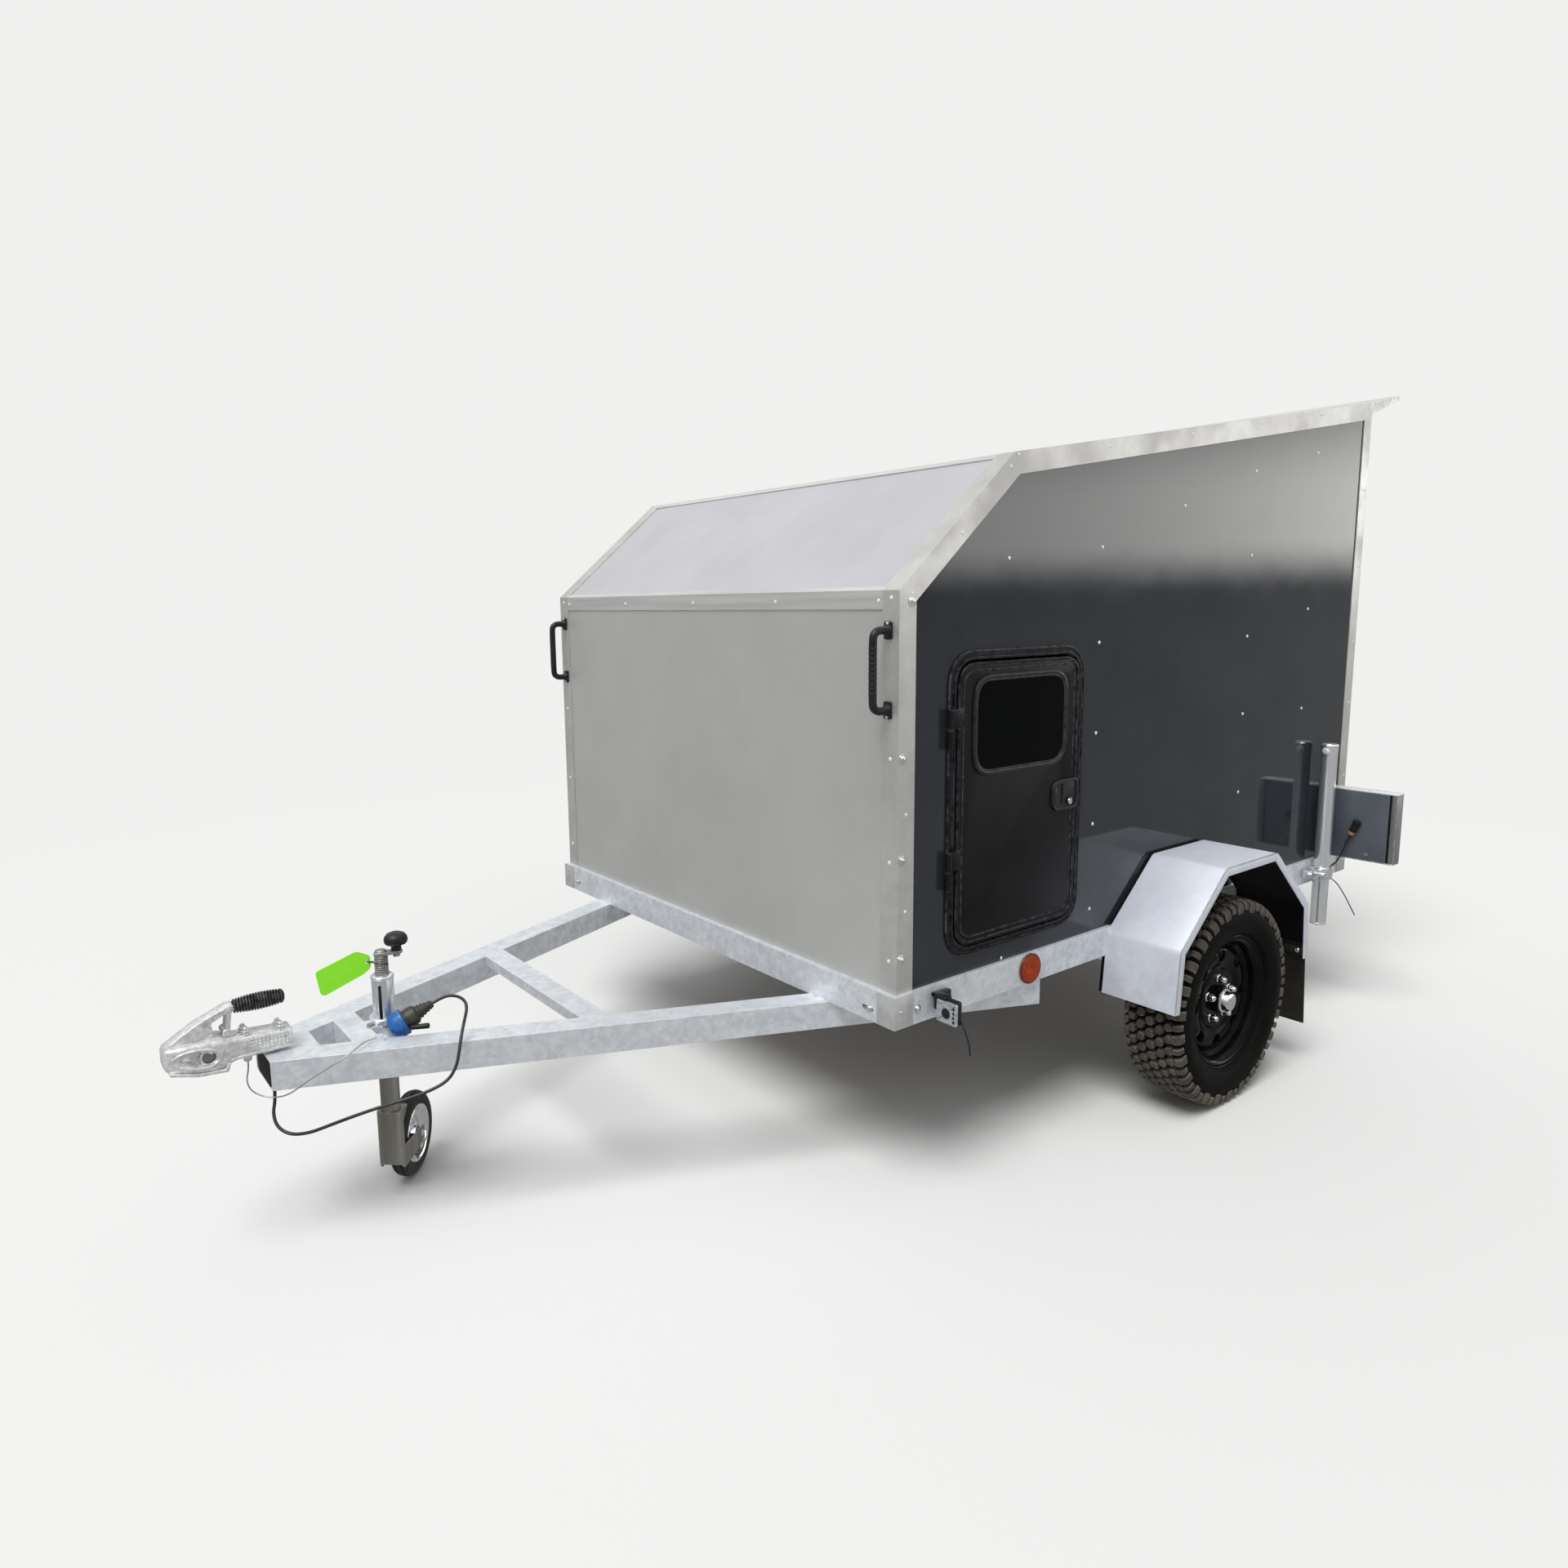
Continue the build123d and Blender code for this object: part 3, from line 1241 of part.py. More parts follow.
# ---- Doors -------------------------------------------------------------------------------
leaf_width = opening_width - 2 * door_gap
leaf_height = opening_height - 2 * door_gap
leaf_corner = opening_corner - door_gap
leaf_outer_y = wall_outer_y + door_leaf_proud
leaf_inner_y = leaf_outer_y - door_leaf_thickness
frame_face_y = wall_outer_y + door_frame_proud
hinge_x = door_x + door_width / 2 + 2.0
knuckle_half = door_hinge_length / 2
hinge_y = leaf_outer_y + door_hinge_proud
window_z = door_middle_z + (door_height - window_height) / 2 - window_drop
lock_x = door_x - leaf_width / 2 + lock_edge + lock_width / 2
pane_outer_y = leaf_outer_y - window_inset
for side, name in ((1, "left"), (-1, "right")):
    with BuildPart() as door_frame:
        with BuildSketch(side_plane(side * wall_outer_y)):
            with Locations((door_x, door_middle_z)):
                RectangleRounded(door_width, door_height, door_corner)
                RectangleRounded(
                    opening_width, opening_height, opening_corner, mode=Mode.SUBTRACT
                )
        extrude(amount=-side * door_frame_proud)
        for step in (-1, 1):
            knuckle_z = door_middle_z + door_hinge_rise + step * door_hinge_spread / 2
            post_y = wall_outer_y + door_hinge_post_depth / 2
            with BuildSketch(Plane.XY.offset(knuckle_z - knuckle_half)):
                with Locations((hinge_x, side * hinge_y)):
                    Circle(door_hinge_radius)
                with Locations((hinge_x - 6.0, side * post_y)):
                    Rectangle(door_hinge_post_width, door_hinge_post_depth)
            extrude(amount=knuckle_half - door_hinge_gap)
    keep(door_frame.part, f"door_frame_{name}")

    with BuildPart() as door:
        with BuildSketch(side_plane(side * leaf_inner_y)):
            with Locations((door_x, door_middle_z)):
                RectangleRounded(leaf_width, leaf_height, leaf_corner)
            with Locations((door_x, window_z)):
                RectangleRounded(window_width, window_height, window_corner, mode=Mode.SUBTRACT)
        extrude(amount=-side * door_leaf_thickness)
        with BuildSketch(side_plane(side * leaf_outer_y)):
            with Locations((lock_x, door_middle_z - lock_drop)):
                RectangleRounded(lock_width, lock_height, lock_corner)
        extrude(amount=-side * lock_proud)
        for step in (-1, 1):
            knuckle_z = door_middle_z + door_hinge_rise + step * door_hinge_spread / 2
            strap_x = hinge_x - door_hinge_strap / 2
            strap_y = leaf_outer_y + door_hinge_strap_metal / 2
            with BuildSketch(Plane.XY.offset(knuckle_z + door_hinge_gap)):
                with Locations((hinge_x, side * hinge_y)):
                    Circle(door_hinge_radius)
                with Locations((strap_x, side * strap_y)):
                    Rectangle(door_hinge_strap, door_hinge_strap_metal)
            extrude(amount=knuckle_half - door_hinge_gap)
    keep(door.part, f"door_{name}")

    with BuildPart() as door_window:
        with BuildSketch(side_plane(side * pane_outer_y)):
            with Locations((door_x, window_z)):
                RectangleRounded(window_width, window_height, window_corner)
        extrude(amount=side * window_thickness)
    keep(door_window.part, f"door_window_{name}")

# ---- Grab handles ------------------------------------------------------------------------
handle_middle_z = (handle_top + handle_bottom) / 2
handle_span = handle_top - handle_bottom
handle_gap = handle_reach_out - handle_thickness - handle_foot_metal
with BuildPart() as grab_handles:
    for side in (1, -1):
        with BuildSketch(side_plane(side * handle_y + handle_width / 2)):
            with Locations((front_x + handle_reach_out / 2, handle_middle_z)):
                Rectangle(handle_reach_out, handle_span + handle_thickness)
            with Locations((front_x + handle_foot_metal / 2, handle_middle_z)):
                Rectangle(handle_foot_metal, handle_span + handle_foot)
            gap_x = front_x + handle_foot_metal + handle_gap / 2
            with Locations((gap_x, handle_middle_z)):
                Rectangle(handle_gap, handle_span - handle_thickness, mode=Mode.SUBTRACT)
        extrude(amount=handle_width)
    grip_edges = grab_handles.edges().filter_by(Axis.Y).group_by(Axis.X)[-1]
    fillet(grip_edges, radius=handle_round)
keep(grab_handles.part, "grab_handles")

# ---- Lamps and lamp boards ---------------------------------------------------------------
board_x = front_x - board_setback
board_middle_z = board_top - board_height / 2
board_width = board_outer_y - wall_outer_y
with BuildPart() as lamp_boards:
    for side in (1, -1):
        board_y = side * (wall_outer_y + board_width / 2)
        with BuildSketch(Plane(origin=(board_x, 0, 0), x_dir=(0, 1, 0), z_dir=(1, 0, 0))):
            with Locations((board_y, board_middle_z)):
                Rectangle(board_width, board_height)
        extrude(amount=-board_depth)
        inside = Plane(origin=(board_x - board_metal, 0, 0), x_dir=(0, 1, 0), z_dir=(1, 0, 0))
        with BuildSketch(inside):
            with Locations((board_y, board_middle_z)):
                Rectangle(board_width - 2 * board_metal, board_height - 2 * board_metal)
        extrude(amount=-board_depth, mode=Mode.SUBTRACT)
keep(lamp_boards.part, "lamp_boards")

lamp_width = board_width - 2 * board_metal - 2 * lamp_inset
with BuildPart() as tail_lamps:
    for side in (1, -1):
        board_y = side * (wall_outer_y + board_width / 2)
        back = Plane(origin=(board_x - board_metal, 0, 0), x_dir=(0, 1, 0), z_dir=(1, 0, 0))
        with BuildSketch(back):
            with Locations((board_y, board_middle_z + lamp_rise)):
                RectangleRounded(lamp_width, lamp_height, lamp_corner)
        extrude(amount=-(board_depth + lamp_proud))
keep(tail_lamps.part, "tail_lamps")

with BuildPart() as side_reflectors:
    for side in (1, -1):
        with BuildSketch(side_plane(side * rail_outer_y)):
            with Locations((front_x - reflector_setback, rail_middle_z)):
                Circle(reflector_radius)
        extrude(amount=-side * reflector_thickness)
keep(side_reflectors.part, "side_reflectors")

marker_x = front_x - marker_setback - marker_depth / 2
marker_low_z = marker_middle_z - marker_height / 2
with BuildPart() as marker_lamps:
    for side in (1, -1):
        with BuildSketch(Plane.XY.offset(marker_low_z)):
            with Locations((marker_x, side * (rail_outer_y + marker_width / 2))):
                Rectangle(marker_depth, marker_width)
        extrude(amount=marker_height)
        with BuildSketch(side_plane(side * rail_outer_y)):
            with Locations((marker_x, chassis_bottom + marker_base_height / 2)):
                Rectangle(marker_base_length, marker_base_height)
        extrude(amount=-side * marker_base_metal)
keep(marker_lamps.part, "marker_lamps")

# ---- Corner steadies ---------------------------------------------------------------------
clamp_low = rail_middle_z - stand_clamp_height / 2
clamp_outer = stand_radius + 10.0
with BuildPart() as stand_clamps:
    for side in (1, -1):
        with BuildSketch(Plane.XY.offset(clamp_low)):
            with Locations((stand_x, side * stand_y)):
                Circle(clamp_outer)
            with Locations((stand_x, side * (rail_outer_y + stand_y) / 2)):
                Rectangle(2 * clamp_outer, stand_y - rail_outer_y)
            with Locations((stand_x, side * (rail_outer_y - clamp_outer))):
                Rectangle(4 * clamp_outer, 2 * clamp_outer, mode=Mode.SUBTRACT)
            with Locations((stand_x, side * stand_y)):
                Circle(stand_radius + bearing_clearance, mode=Mode.SUBTRACT)
        extrude(amount=stand_clamp_height)
keep(stand_clamps.part, "stand_clamps")

for side, name in ((1, "left"), (-1, "right")):
    with BuildPart() as stand:
        with BuildSketch(Plane.XY.offset(stand_foot)):
            with Locations((stand_x, side * stand_y)):
                Circle(stand_radius)
                Circle(stand_radius - stand_wall, mode=Mode.SUBTRACT)
        extrude(amount=stand_length)
        with BuildSketch(Plane.XY.offset(stand_foot + stand_length)):
            with Locations((stand_x, side * stand_y)):
                Circle(stand_radius + 1.0)
        extrude(amount=4.0)
    keep(stand.part, f"steady_{name}")

# ---- Cords and what they carry -----------------------------------------------------------
def cord(route, radius, name):
    """A round cord of straight runs, joined by arcs as large as the runs allow."""
    points = [Vector(*place) for place in route]
    bends = []
    for i in range(1, len(points) - 1):
        before = points[i] - points[i - 1]
        after = points[i + 1] - points[i]
        shorter = min(before.length, after.length)
        bends.append(0.45 * shorter / tan(radians(before.get_angle(after) / 2)))
    with BuildPart() as tube:
        with BuildLine() as path:
            FilletPolyline(*points, radius=bends)
        with BuildSketch(Plane(origin=points[0], z_dir=points[1] - points[0])):
            Circle(radius)
        sweep()
    length = sum(edge.length for edge in path.edges())
    section = pi * radius ** 2
    print(name, "radii", [round(bend) for bend in bends], "length", round(length, 1))
    print(name, "volume over section times length", round(tube.part.volume / section / length, 4))
    keep(tube.part, name)


lead_exit = Vector(*plug_end_place) + plug_axis * lead_entry
cord(tow_lead_route + [tuple(lead_exit), plug_end_place], lead_radius, "tow_lead")
cord(safety_cable_route, cable_radius, "safety_cable")

cap_face = Vector(*plug_cap_place) + plug_axis * (plug_cap_length / 2)
with BuildPart() as plug_cap:
    with BuildSketch(Plane(origin=plug_cap_place, z_dir=plug_axis)):
        Circle(plug_cap_radius)
    extrude(amount=plug_cap_length / 2, both=True)
keep(plug_cap.part, "plug_cap")

with BuildPart() as tow_plug:
    with BuildSketch(Plane(origin=cap_face, z_dir=plug_axis)):
        Circle(plug_radius)
    extrude(amount=plug_length)
    boot_start = cap_face + plug_axis * plug_length
    with BuildSketch(Plane(origin=boot_start, z_dir=plug_axis)):
        Circle(plug_radius - plug_shoulder)
    with BuildSketch(Plane(origin=plug_end_place, z_dir=plug_axis)):
        Circle(plug_boot_end)
    loft()
keep(tow_plug.part, "tow_plug")

gland_x, gland_y, gland_z = tow_lead_route[0]
board_gland_x = board_x + board_gland_radius + cord_gap
board_lead_down = (-sin(radians(board_gland_tilt)), -cos(radians(board_gland_tilt)))
with BuildPart() as cable_glands:
    with BuildSketch(Plane.XY.offset(gland_z)):
        with Locations((gland_x, gland_y)):
            Circle(lead_gland_radius)
    extrude(amount=drawbar_bottom - gland_z)
    for side in (1, -1):
        line_y, line_z = board_lead_line[0]
        end_y = line_y - board_lead_down[0] * board_lead_run
        end_z = line_z - board_lead_down[1] * board_lead_run
        gland_end = Plane(
            origin=(board_gland_x, side * end_y, end_z),
            z_dir=(0, -side * board_lead_down[0], -board_lead_down[1]),
        )
        with BuildSketch(gland_end):
            Circle(board_gland_radius)
        extrude(amount=board_gland_length)
keep(cable_glands.part, "cable_glands")

for side, name in ((1, "left"), (-1, "right")):
    route = [(board_gland_x, side * end_y, end_z)]
    route += [(board_gland_x, side * y, z) for y, z in board_lead_line]
    route += [(board_gland_x, side * rail_outer_y, board_lead_line[-1][1])]
    cord(route, board_lead_radius, f"board_lead_{name}")

# The tag hangs from a tie round the crank's neck.
tag_tie_z = jockey_outer_top + tag_tie_rise
tie_radius = crank_neck_radius + cord_gap
tag_root_x = jockey_x + jockey_outer_radius + tag_tie_width
with BuildPart() as hang_tag:
    with BuildSketch(Plane.XY.offset(tag_tie_z - tag_tie_width / 2)):
        with Locations((jockey_x, 0)):
            Circle(tie_radius + tag_thickness)
        with Locations(((jockey_x + tag_root_x) / 2 + tag_tie_width, 0)):
            Rectangle(tag_root_x - jockey_x + 2 * tag_tie_width, tag_thickness)
        with Locations((jockey_x, 0)):
            Circle(tie_radius, mode=Mode.SUBTRACT)
    extrude(amount=tag_tie_width)
    tag_half = tag_length / 2
    with BuildSketch(side_plane(tag_thickness / 2)):
        tag_x = tag_root_x + tag_half * cos(radians(tag_tilt))
        tag_z = tag_tie_z - tag_half * sin(radians(tag_tilt))
        with Locations(Location((tag_x, tag_z, 0), (0, 0, -tag_tilt))):
            RectangleRounded(tag_length, tag_height, tag_corner)
    extrude(amount=tag_thickness)
keep(hang_tag.part, "hang_tag")
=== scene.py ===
"""A single-axle box camper trailer: the looks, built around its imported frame.

Sizes in the calls below are millimetres, in the frame's own axes: +X towards the coupling,
+Y to the left side, +Z up, with the ground at zero.
"""

import json
from math import cos, radians, sin

import bpy
from mathutils import Matrix, Vector

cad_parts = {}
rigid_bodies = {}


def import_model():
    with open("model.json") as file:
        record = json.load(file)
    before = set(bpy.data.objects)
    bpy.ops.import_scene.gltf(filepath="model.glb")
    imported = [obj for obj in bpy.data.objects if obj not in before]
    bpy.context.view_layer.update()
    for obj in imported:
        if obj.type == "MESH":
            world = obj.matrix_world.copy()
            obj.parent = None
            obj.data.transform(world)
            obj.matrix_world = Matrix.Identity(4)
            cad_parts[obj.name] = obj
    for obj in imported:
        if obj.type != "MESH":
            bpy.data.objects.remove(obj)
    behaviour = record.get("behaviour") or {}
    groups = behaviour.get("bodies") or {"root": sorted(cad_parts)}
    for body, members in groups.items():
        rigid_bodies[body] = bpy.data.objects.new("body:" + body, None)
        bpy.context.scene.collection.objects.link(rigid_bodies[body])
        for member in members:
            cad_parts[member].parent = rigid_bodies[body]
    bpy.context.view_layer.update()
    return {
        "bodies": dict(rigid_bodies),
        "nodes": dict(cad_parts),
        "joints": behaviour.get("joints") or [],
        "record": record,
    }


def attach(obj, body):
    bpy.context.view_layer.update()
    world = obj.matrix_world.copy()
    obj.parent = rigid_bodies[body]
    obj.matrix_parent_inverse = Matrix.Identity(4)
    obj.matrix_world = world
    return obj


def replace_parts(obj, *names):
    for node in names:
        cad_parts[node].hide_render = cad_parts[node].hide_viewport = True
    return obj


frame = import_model()
nodes = frame["nodes"]
MM = 0.001
BODY_FRONT = 511        # outer face of the front wall
WALL_SIDE = 759         # outer face of a side wall, from the centre line
TRIM_SIDE = 762         # outer face of the trims on it
RAIL_SIDE = 770         # outer face of the chassis rails
HATCH_FACE = -1623      # outer face of the rear hatch


def at(x, y, z):
    """A place given in millimetres."""
    return Vector((x, y, z)) * MM


# ---- Camera, floor and light -------------------------------------------------------------
def add_camera():
    yaw, pitch, roll = 4.061137, 0.148089, -0.011605
    ahead = Vector((cos(yaw) * cos(pitch), sin(yaw) * cos(pitch), -sin(pitch)))
    level = Vector((sin(yaw), -cos(yaw), 0))
    above = level.cross(ahead)
    right = level * cos(roll) + above * sin(roll)
    up = above * cos(roll) - level * sin(roll)
    data = bpy.data.cameras.new("camera")
    data.sensor_width = 36.0
    data.lens = 23.764
    data.shift_x = 0.01872
    data.shift_y = -0.01717
    data.clip_end = 200.0
    camera = bpy.data.objects.new("camera", data)
    bpy.context.scene.collection.objects.link(camera)
    turn = Matrix((right, up, -ahead)).transposed().to_4x4()
    camera.matrix_world = Matrix.Translation(at(2062.1, 2296.8, 1359.0)) @ turn
    bpy.context.scene.camera = camera


def add_key_light():
    """One broad soft lamp, high in front and a little to the left."""
    data = bpy.data.lights.new("key light", "SUN")
    data.energy = 2.3
    data.angle = radians(30)
    lamp = bpy.data.objects.new("key light", data)
    bpy.context.scene.collection.objects.link(lamp)
    lamp.matrix_world = Vector((0.62, 0.27, 1.22)).to_track_quat("Z", "Y").to_matrix().to_4x4()


def step(tree, kind, feeds=None, **settings):
    """Add a shader node; feeds are other nodes' sockets or plain values."""
    node = tree.nodes.new("ShaderNode" + kind)
    for name, value in settings.items():
        setattr(node, name, value)
    for socket, value in (feeds or {}).items():
        if isinstance(value, bpy.types.NodeSocket):
            tree.links.new(value, node.inputs[socket])
        else:
            node.inputs[socket].default_value = value
    return node


def ramp(tree, value, low, high, start, end):
    """A value that goes softly from start to end as the given one goes from low to high."""
    return step(tree, "MapRange", {"Value": value, "From Min": low, "From Max": high,
            "To Min": start, "To Max": end}, interpolation_type="SMOOTHSTEP").outputs[0]


def combine(tree, kind, first, second):
    return step(tree, "Math", {0: first, 1: second}, operation=kind).outputs[0]


def surround_light(tree, colour, strength):
    return step(tree, "Background", {"Color": (*colour, 1), "Strength": strength}).outputs[0]


def either_light(tree, mask, first, second):
    return step(tree, "MixShader", {0: mask, 1: first, 2: second}).outputs[0]


PALE = (0.875, 0.875, 0.868)


def add_surround():
    """A pale room: what is seen is even, what lights is brighter overhead, and gloss shows
    the pale room shading off towards its walls, with a bright low strip behind."""
    world = bpy.data.worlds.new("surround")
    bpy.context.scene.world = world
    world.use_nodes = True
    tree = world.node_tree
    tree.nodes.clear()
    way = step(tree, "TexCoord").outputs["Generated"]
    height = step(tree, "SeparateXYZ", {0: way}).outputs["Z"]
    rays = step(tree, "LightPath").outputs

    fill = surround_light(tree, (0.99, 0.995, 1.0), ramp(tree, height, 0.0, 1.0, 0.17, 0.62))
    room = surround_light(tree, PALE, ramp(tree, height, 0.0, 0.7, 0.36, 1.2))
    behind = step(tree, "VectorMath", {0: way, 1: (-0.90, 0.42, 0.0)}, operation="DOT_PRODUCT")
    facing = ramp(tree, behind.outputs["Value"], 0.70, 0.93, 0.0, 1.0)
    strip = combine(tree, "MULTIPLY", ramp(tree, height, 0.004, 0.05, 0.0, 1.0),
            ramp(tree, height, 0.08, 0.20, 1.0, 0.0))
    glow = surround_light(tree, (1.0, 0.985, 0.95),
            combine(tree, "MULTIPLY", combine(tree, "MULTIPLY", strip, facing), 3.4))
    gloss = step(tree, "AddShader", {0: room, 1: glow}).outputs[0]
    seen = surround_light(tree, PALE, 1.0)
    lit = either_light(tree, rays["Is Glossy Ray"], fill, gloss)
    direct = combine(tree, "MAXIMUM", rays["Is Camera Ray"], rays["Is Transmission Ray"])
    step(tree, "OutputWorld", {"Surface": either_light(tree, direct, lit, seen)})


def add_floor():
    """A pale matt floor that becomes the surround further out; in reflections it is painted shade,
    a flat darker glow.
    """
    bpy.ops.object.select_all(action="DESELECT")
    bpy.ops.mesh.primitive_circle_add(vertices=96, radius=60.0, fill_type="NGON",
            location=(0, 0, 0))
    floor = bpy.context.object
    floor.name = "floor"
    made = bpy.data.materials.new("pale floor")
    made.use_nodes = True
    tree = made.node_tree
    tree.nodes.clear()
    spot = step(tree, "TexCoord").outputs["Object"]
    reach = step(tree, "VectorMath", {0: spot}, operation="LENGTH").outputs["Value"]
    matt = step(tree, "BsdfDiffuse", {"Color": (0.80, 0.80, 0.79, 1)}).outputs[0]
    far = step(tree, "Emission", {"Color": (*PALE, 1)}).outputs[0]
    # Painted shade: reflections see the floor as this flat darker glow, standing in for the
    # shadowed floor.
    floor_shade_in_gloss = step(tree, "Emission", {"Color": (0.34, 0.34, 0.335, 1)}).outputs[0]
    seen = either_light(tree, ramp(tree, reach, 2.6, 6.0, 0.0, 1.0), matt, far)
    gloss = step(tree, "LightPath").outputs["Is Glossy Ray"]
    step(tree, "OutputMaterial", {"Surface": either_light(tree, gloss, seen, floor_shade_in_gloss)})
    floor.data.materials.append(made)


bpy.context.scene.view_settings.view_transform = "Standard"
add_camera()
add_key_light()
add_surround()
add_floor()


# ---- Modelling helpers -------------------------------------------------------------------
def pick(piece):
    """Leave edit mode, and select this piece alone."""
    if bpy.context.object and bpy.context.object.mode != "OBJECT":
        bpy.ops.object.mode_set(mode="OBJECT")
    bpy.ops.object.select_all(action="DESELECT")
    if piece:
        piece.select_set(True)
        bpy.context.view_layer.objects.active = piece


def edit(piece, kind="FACE"):
    pick(piece)
    bpy.ops.object.mode_set(mode="EDIT")
    bpy.ops.mesh.select_mode(type=kind)
    bpy.ops.mesh.select_all(action="DESELECT")


def leave():
    bpy.ops.object.mode_set(mode="OBJECT")


def choose_all():
    bpy.ops.mesh.select_all(action="SELECT")


def push_out(move):
    """Extrude what is chosen by a move."""
    bpy.ops.mesh.extrude_region_move(TRANSFORM_OT_translate={"value": move})


def face_outward():
    choose_all()
    bpy.ops.mesh.normals_make_consistent(inside=False)


def choose(piece, test):
    """Go into edit mode with the faces whose middle and normal pass a test."""
    edit(piece)
    leave()
    for face in piece.data.polygons:
        face.select = test(face.center / MM, face.normal)
    bpy.ops.object.mode_set(mode="EDIT")


def apply(piece, kind, **settings):
    """Add a modifier with these settings, and apply it."""
    pick(piece)
    modifier = piece.modifiers.new(kind.lower(), kind)
    for name, value in settings.items():
        setattr(modifier, name, value)
    bpy.ops.object.modifier_apply(modifier=modifier.name)
    return piece


def bevel(piece, width, segments=2, angle=30):
    return apply(piece, "BEVEL", width=width * MM, segments=segments, limit_method="ANGLE",
            angle_limit=radians(angle), harden_normals=False)


def line(name, points):
    """A chain of edges, extruded from point to point."""
    pick(None)
    bpy.ops.mesh.primitive_plane_add(size=MM, location=(0, 0, 0))
    piece = bpy.context.object
    piece.name = name
    bpy.ops.object.mode_set(mode="EDIT")
    bpy.ops.mesh.select_mode(type="VERT")
    bpy.ops.mesh.merge(type="CENTER")
    bpy.ops.transform.translate(value=at(*points[0]))
    for here, there in zip(points, points[1:]):
        push_out(at(*there) - at(*here))
    leave()
    return piece


def oblong(low_u, low_v, high_u, high_v):
    """The four corners of a flat rectangle."""
    return [(low_u, low_v), (high_u, low_v), (high_u, high_v), (low_u, high_v)]


def slab(name, outline, depth, round_off=0.0, segments=2):
    """A plate: a closed outline filled, then pushed out by a depth along X, Y and Z."""
    piece = line(name, outline)
    edit(piece, "VERT")
    choose_all()
    bpy.ops.mesh.edge_face_add()
    push_out(at(*depth))
    face_outward()
    leave()
    if round_off:
        bevel(piece, round_off, segments)
    return piece


def block(name, middle, size, round_off=1.0, segments=2):
    """A bar or plate with eased edges, square to the axes."""
    x, y, z = middle
    dx, dy, dz = (length / 2 for length in size)
    foot = [(x - dx, y - dy, z - dz), (x + dx, y - dy, z - dz), (x + dx, y + dy, z - dz)]
    foot.append((x - dx, y + dy, z - dz))
    return slab(name, foot, (0, 0, 2 * dz), round_off, segments)


def turned(name, profile, foot=(0, 0, 0), axis=(0, 0, 1), steps=24, angle=360):
    """A turned piece: (distance along the axis, radius) from its foot, spun round the axis."""
    axis = Vector(axis).normalized()
    side = axis.orthogonal().normalized()
    start = Vector(foot)
    piece = line(name, [start + axis * along + side * radius for along, radius in profile])
    edit(piece, "VERT")
    choose_all()
    bpy.ops.mesh.spin(steps=steps, angle=radians(angle), center=start * MM, axis=axis)
    choose_all()
    bpy.ops.mesh.remove_doubles(threshold=0.00002)
    face_outward()
    leave()
    return piece


def wire(name, points, radius, roundness, smoothness, cyclic=False):
    """A round curve that bends smoothly through these points."""
    data = bpy.data.curves.new(name, "CURVE")
    data.dimensions = "3D"
    data.bevel_depth = radius * MM
    data.bevel_resolution = roundness
    data.resolution_u = smoothness
    data.use_fill_caps = not cyclic
    run = data.splines.new("NURBS")
    run.points.add(len(points) - 1)
    for point, place in zip(run.points, points):
        point.co = (*at(*place), 1)
    run.order_u = 3
    run.use_endpoint_u = not cyclic
    run.use_cyclic_u = cyclic
    piece = bpy.data.objects.new(name, data)
    bpy.context.scene.collection.objects.link(piece)
    return piece


def tube(name, points, radius, sides=12, cyclic=False):
    """A round bar as a mesh."""
    pick(None)
    pick(wire(name, points, radius, max(1, sides // 4 - 1), 6, cyclic))
    bpy.ops.object.convert(target="MESH")
    return bpy.context.object


def joined(pieces):
    pick(pieces[0])
    for piece in pieces[1:]:
        piece.select_set(True)
    if len(pieces) > 1:
        bpy.ops.object.join()
    return bpy.context.object


def settled():
    """Bake the chosen piece's place, turn and size into its mesh."""
    bpy.ops.object.transform_apply(location=True, rotation=True, scale=True)


def moved(piece, place):
    pick(piece)
    bpy.ops.transform.translate(value=at(*place))
    settled()
    return piece


def copies(piece, moves):
    """A copy of the piece at each of these moves from its own place."""
    made = []
    for move in moves:
        pick(piece)
        bpy.ops.object.duplicate()
        made.append(moved(bpy.context.object, move))
    return made


def repeat(piece, moves):
    """One mesh with the piece, and a copy of it at each of these moves."""
    return joined([piece] + copies(piece, moves))


def spread(piece, places):
    """One mesh with the piece, modelled at zero, moved to each of these places."""
    made = copies(piece, places)
    bpy.data.objects.remove(piece)
    return joined(made)


def twin(piece, name=None, centre=(0, 0, 0)):
    """The same piece mirrored from left to right about a point, as a mesh of its own."""
    pick(piece)
    bpy.ops.object.duplicate()
    other = bpy.context.object
    other.name = name or piece.name
    bpy.ops.transform.resize(value=(1, -1, 1), center_override=at(*centre))
    settled()
    edit(other)
    choose_all()
    bpy.ops.mesh.flip_normals()
    leave()
    return other


def both_sides(piece):
    return joined([piece, twin(piece)])


def turn(piece, angle, axis, centre):
    """Turn a piece about a point, in degrees."""
    pick(piece)
    about = Matrix.Translation(at(*centre))
    spin = about @ Matrix.Rotation(radians(angle), 4, Vector(axis)) @ about.inverted()
    piece.matrix_world = spin @ piece.matrix_world
    settled()
    return piece


def fit(piece, body, paint, smooth=32):
    """Settle a finished piece: its place in its mesh, its shading, finish and body."""
    pick(piece)
    settled()
    bpy.ops.object.shade_smooth_by_angle(angle=radians(smooth))
    piece.data.materials.clear()
    piece.data.materials.append(paint)
    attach(piece, body)
    return piece


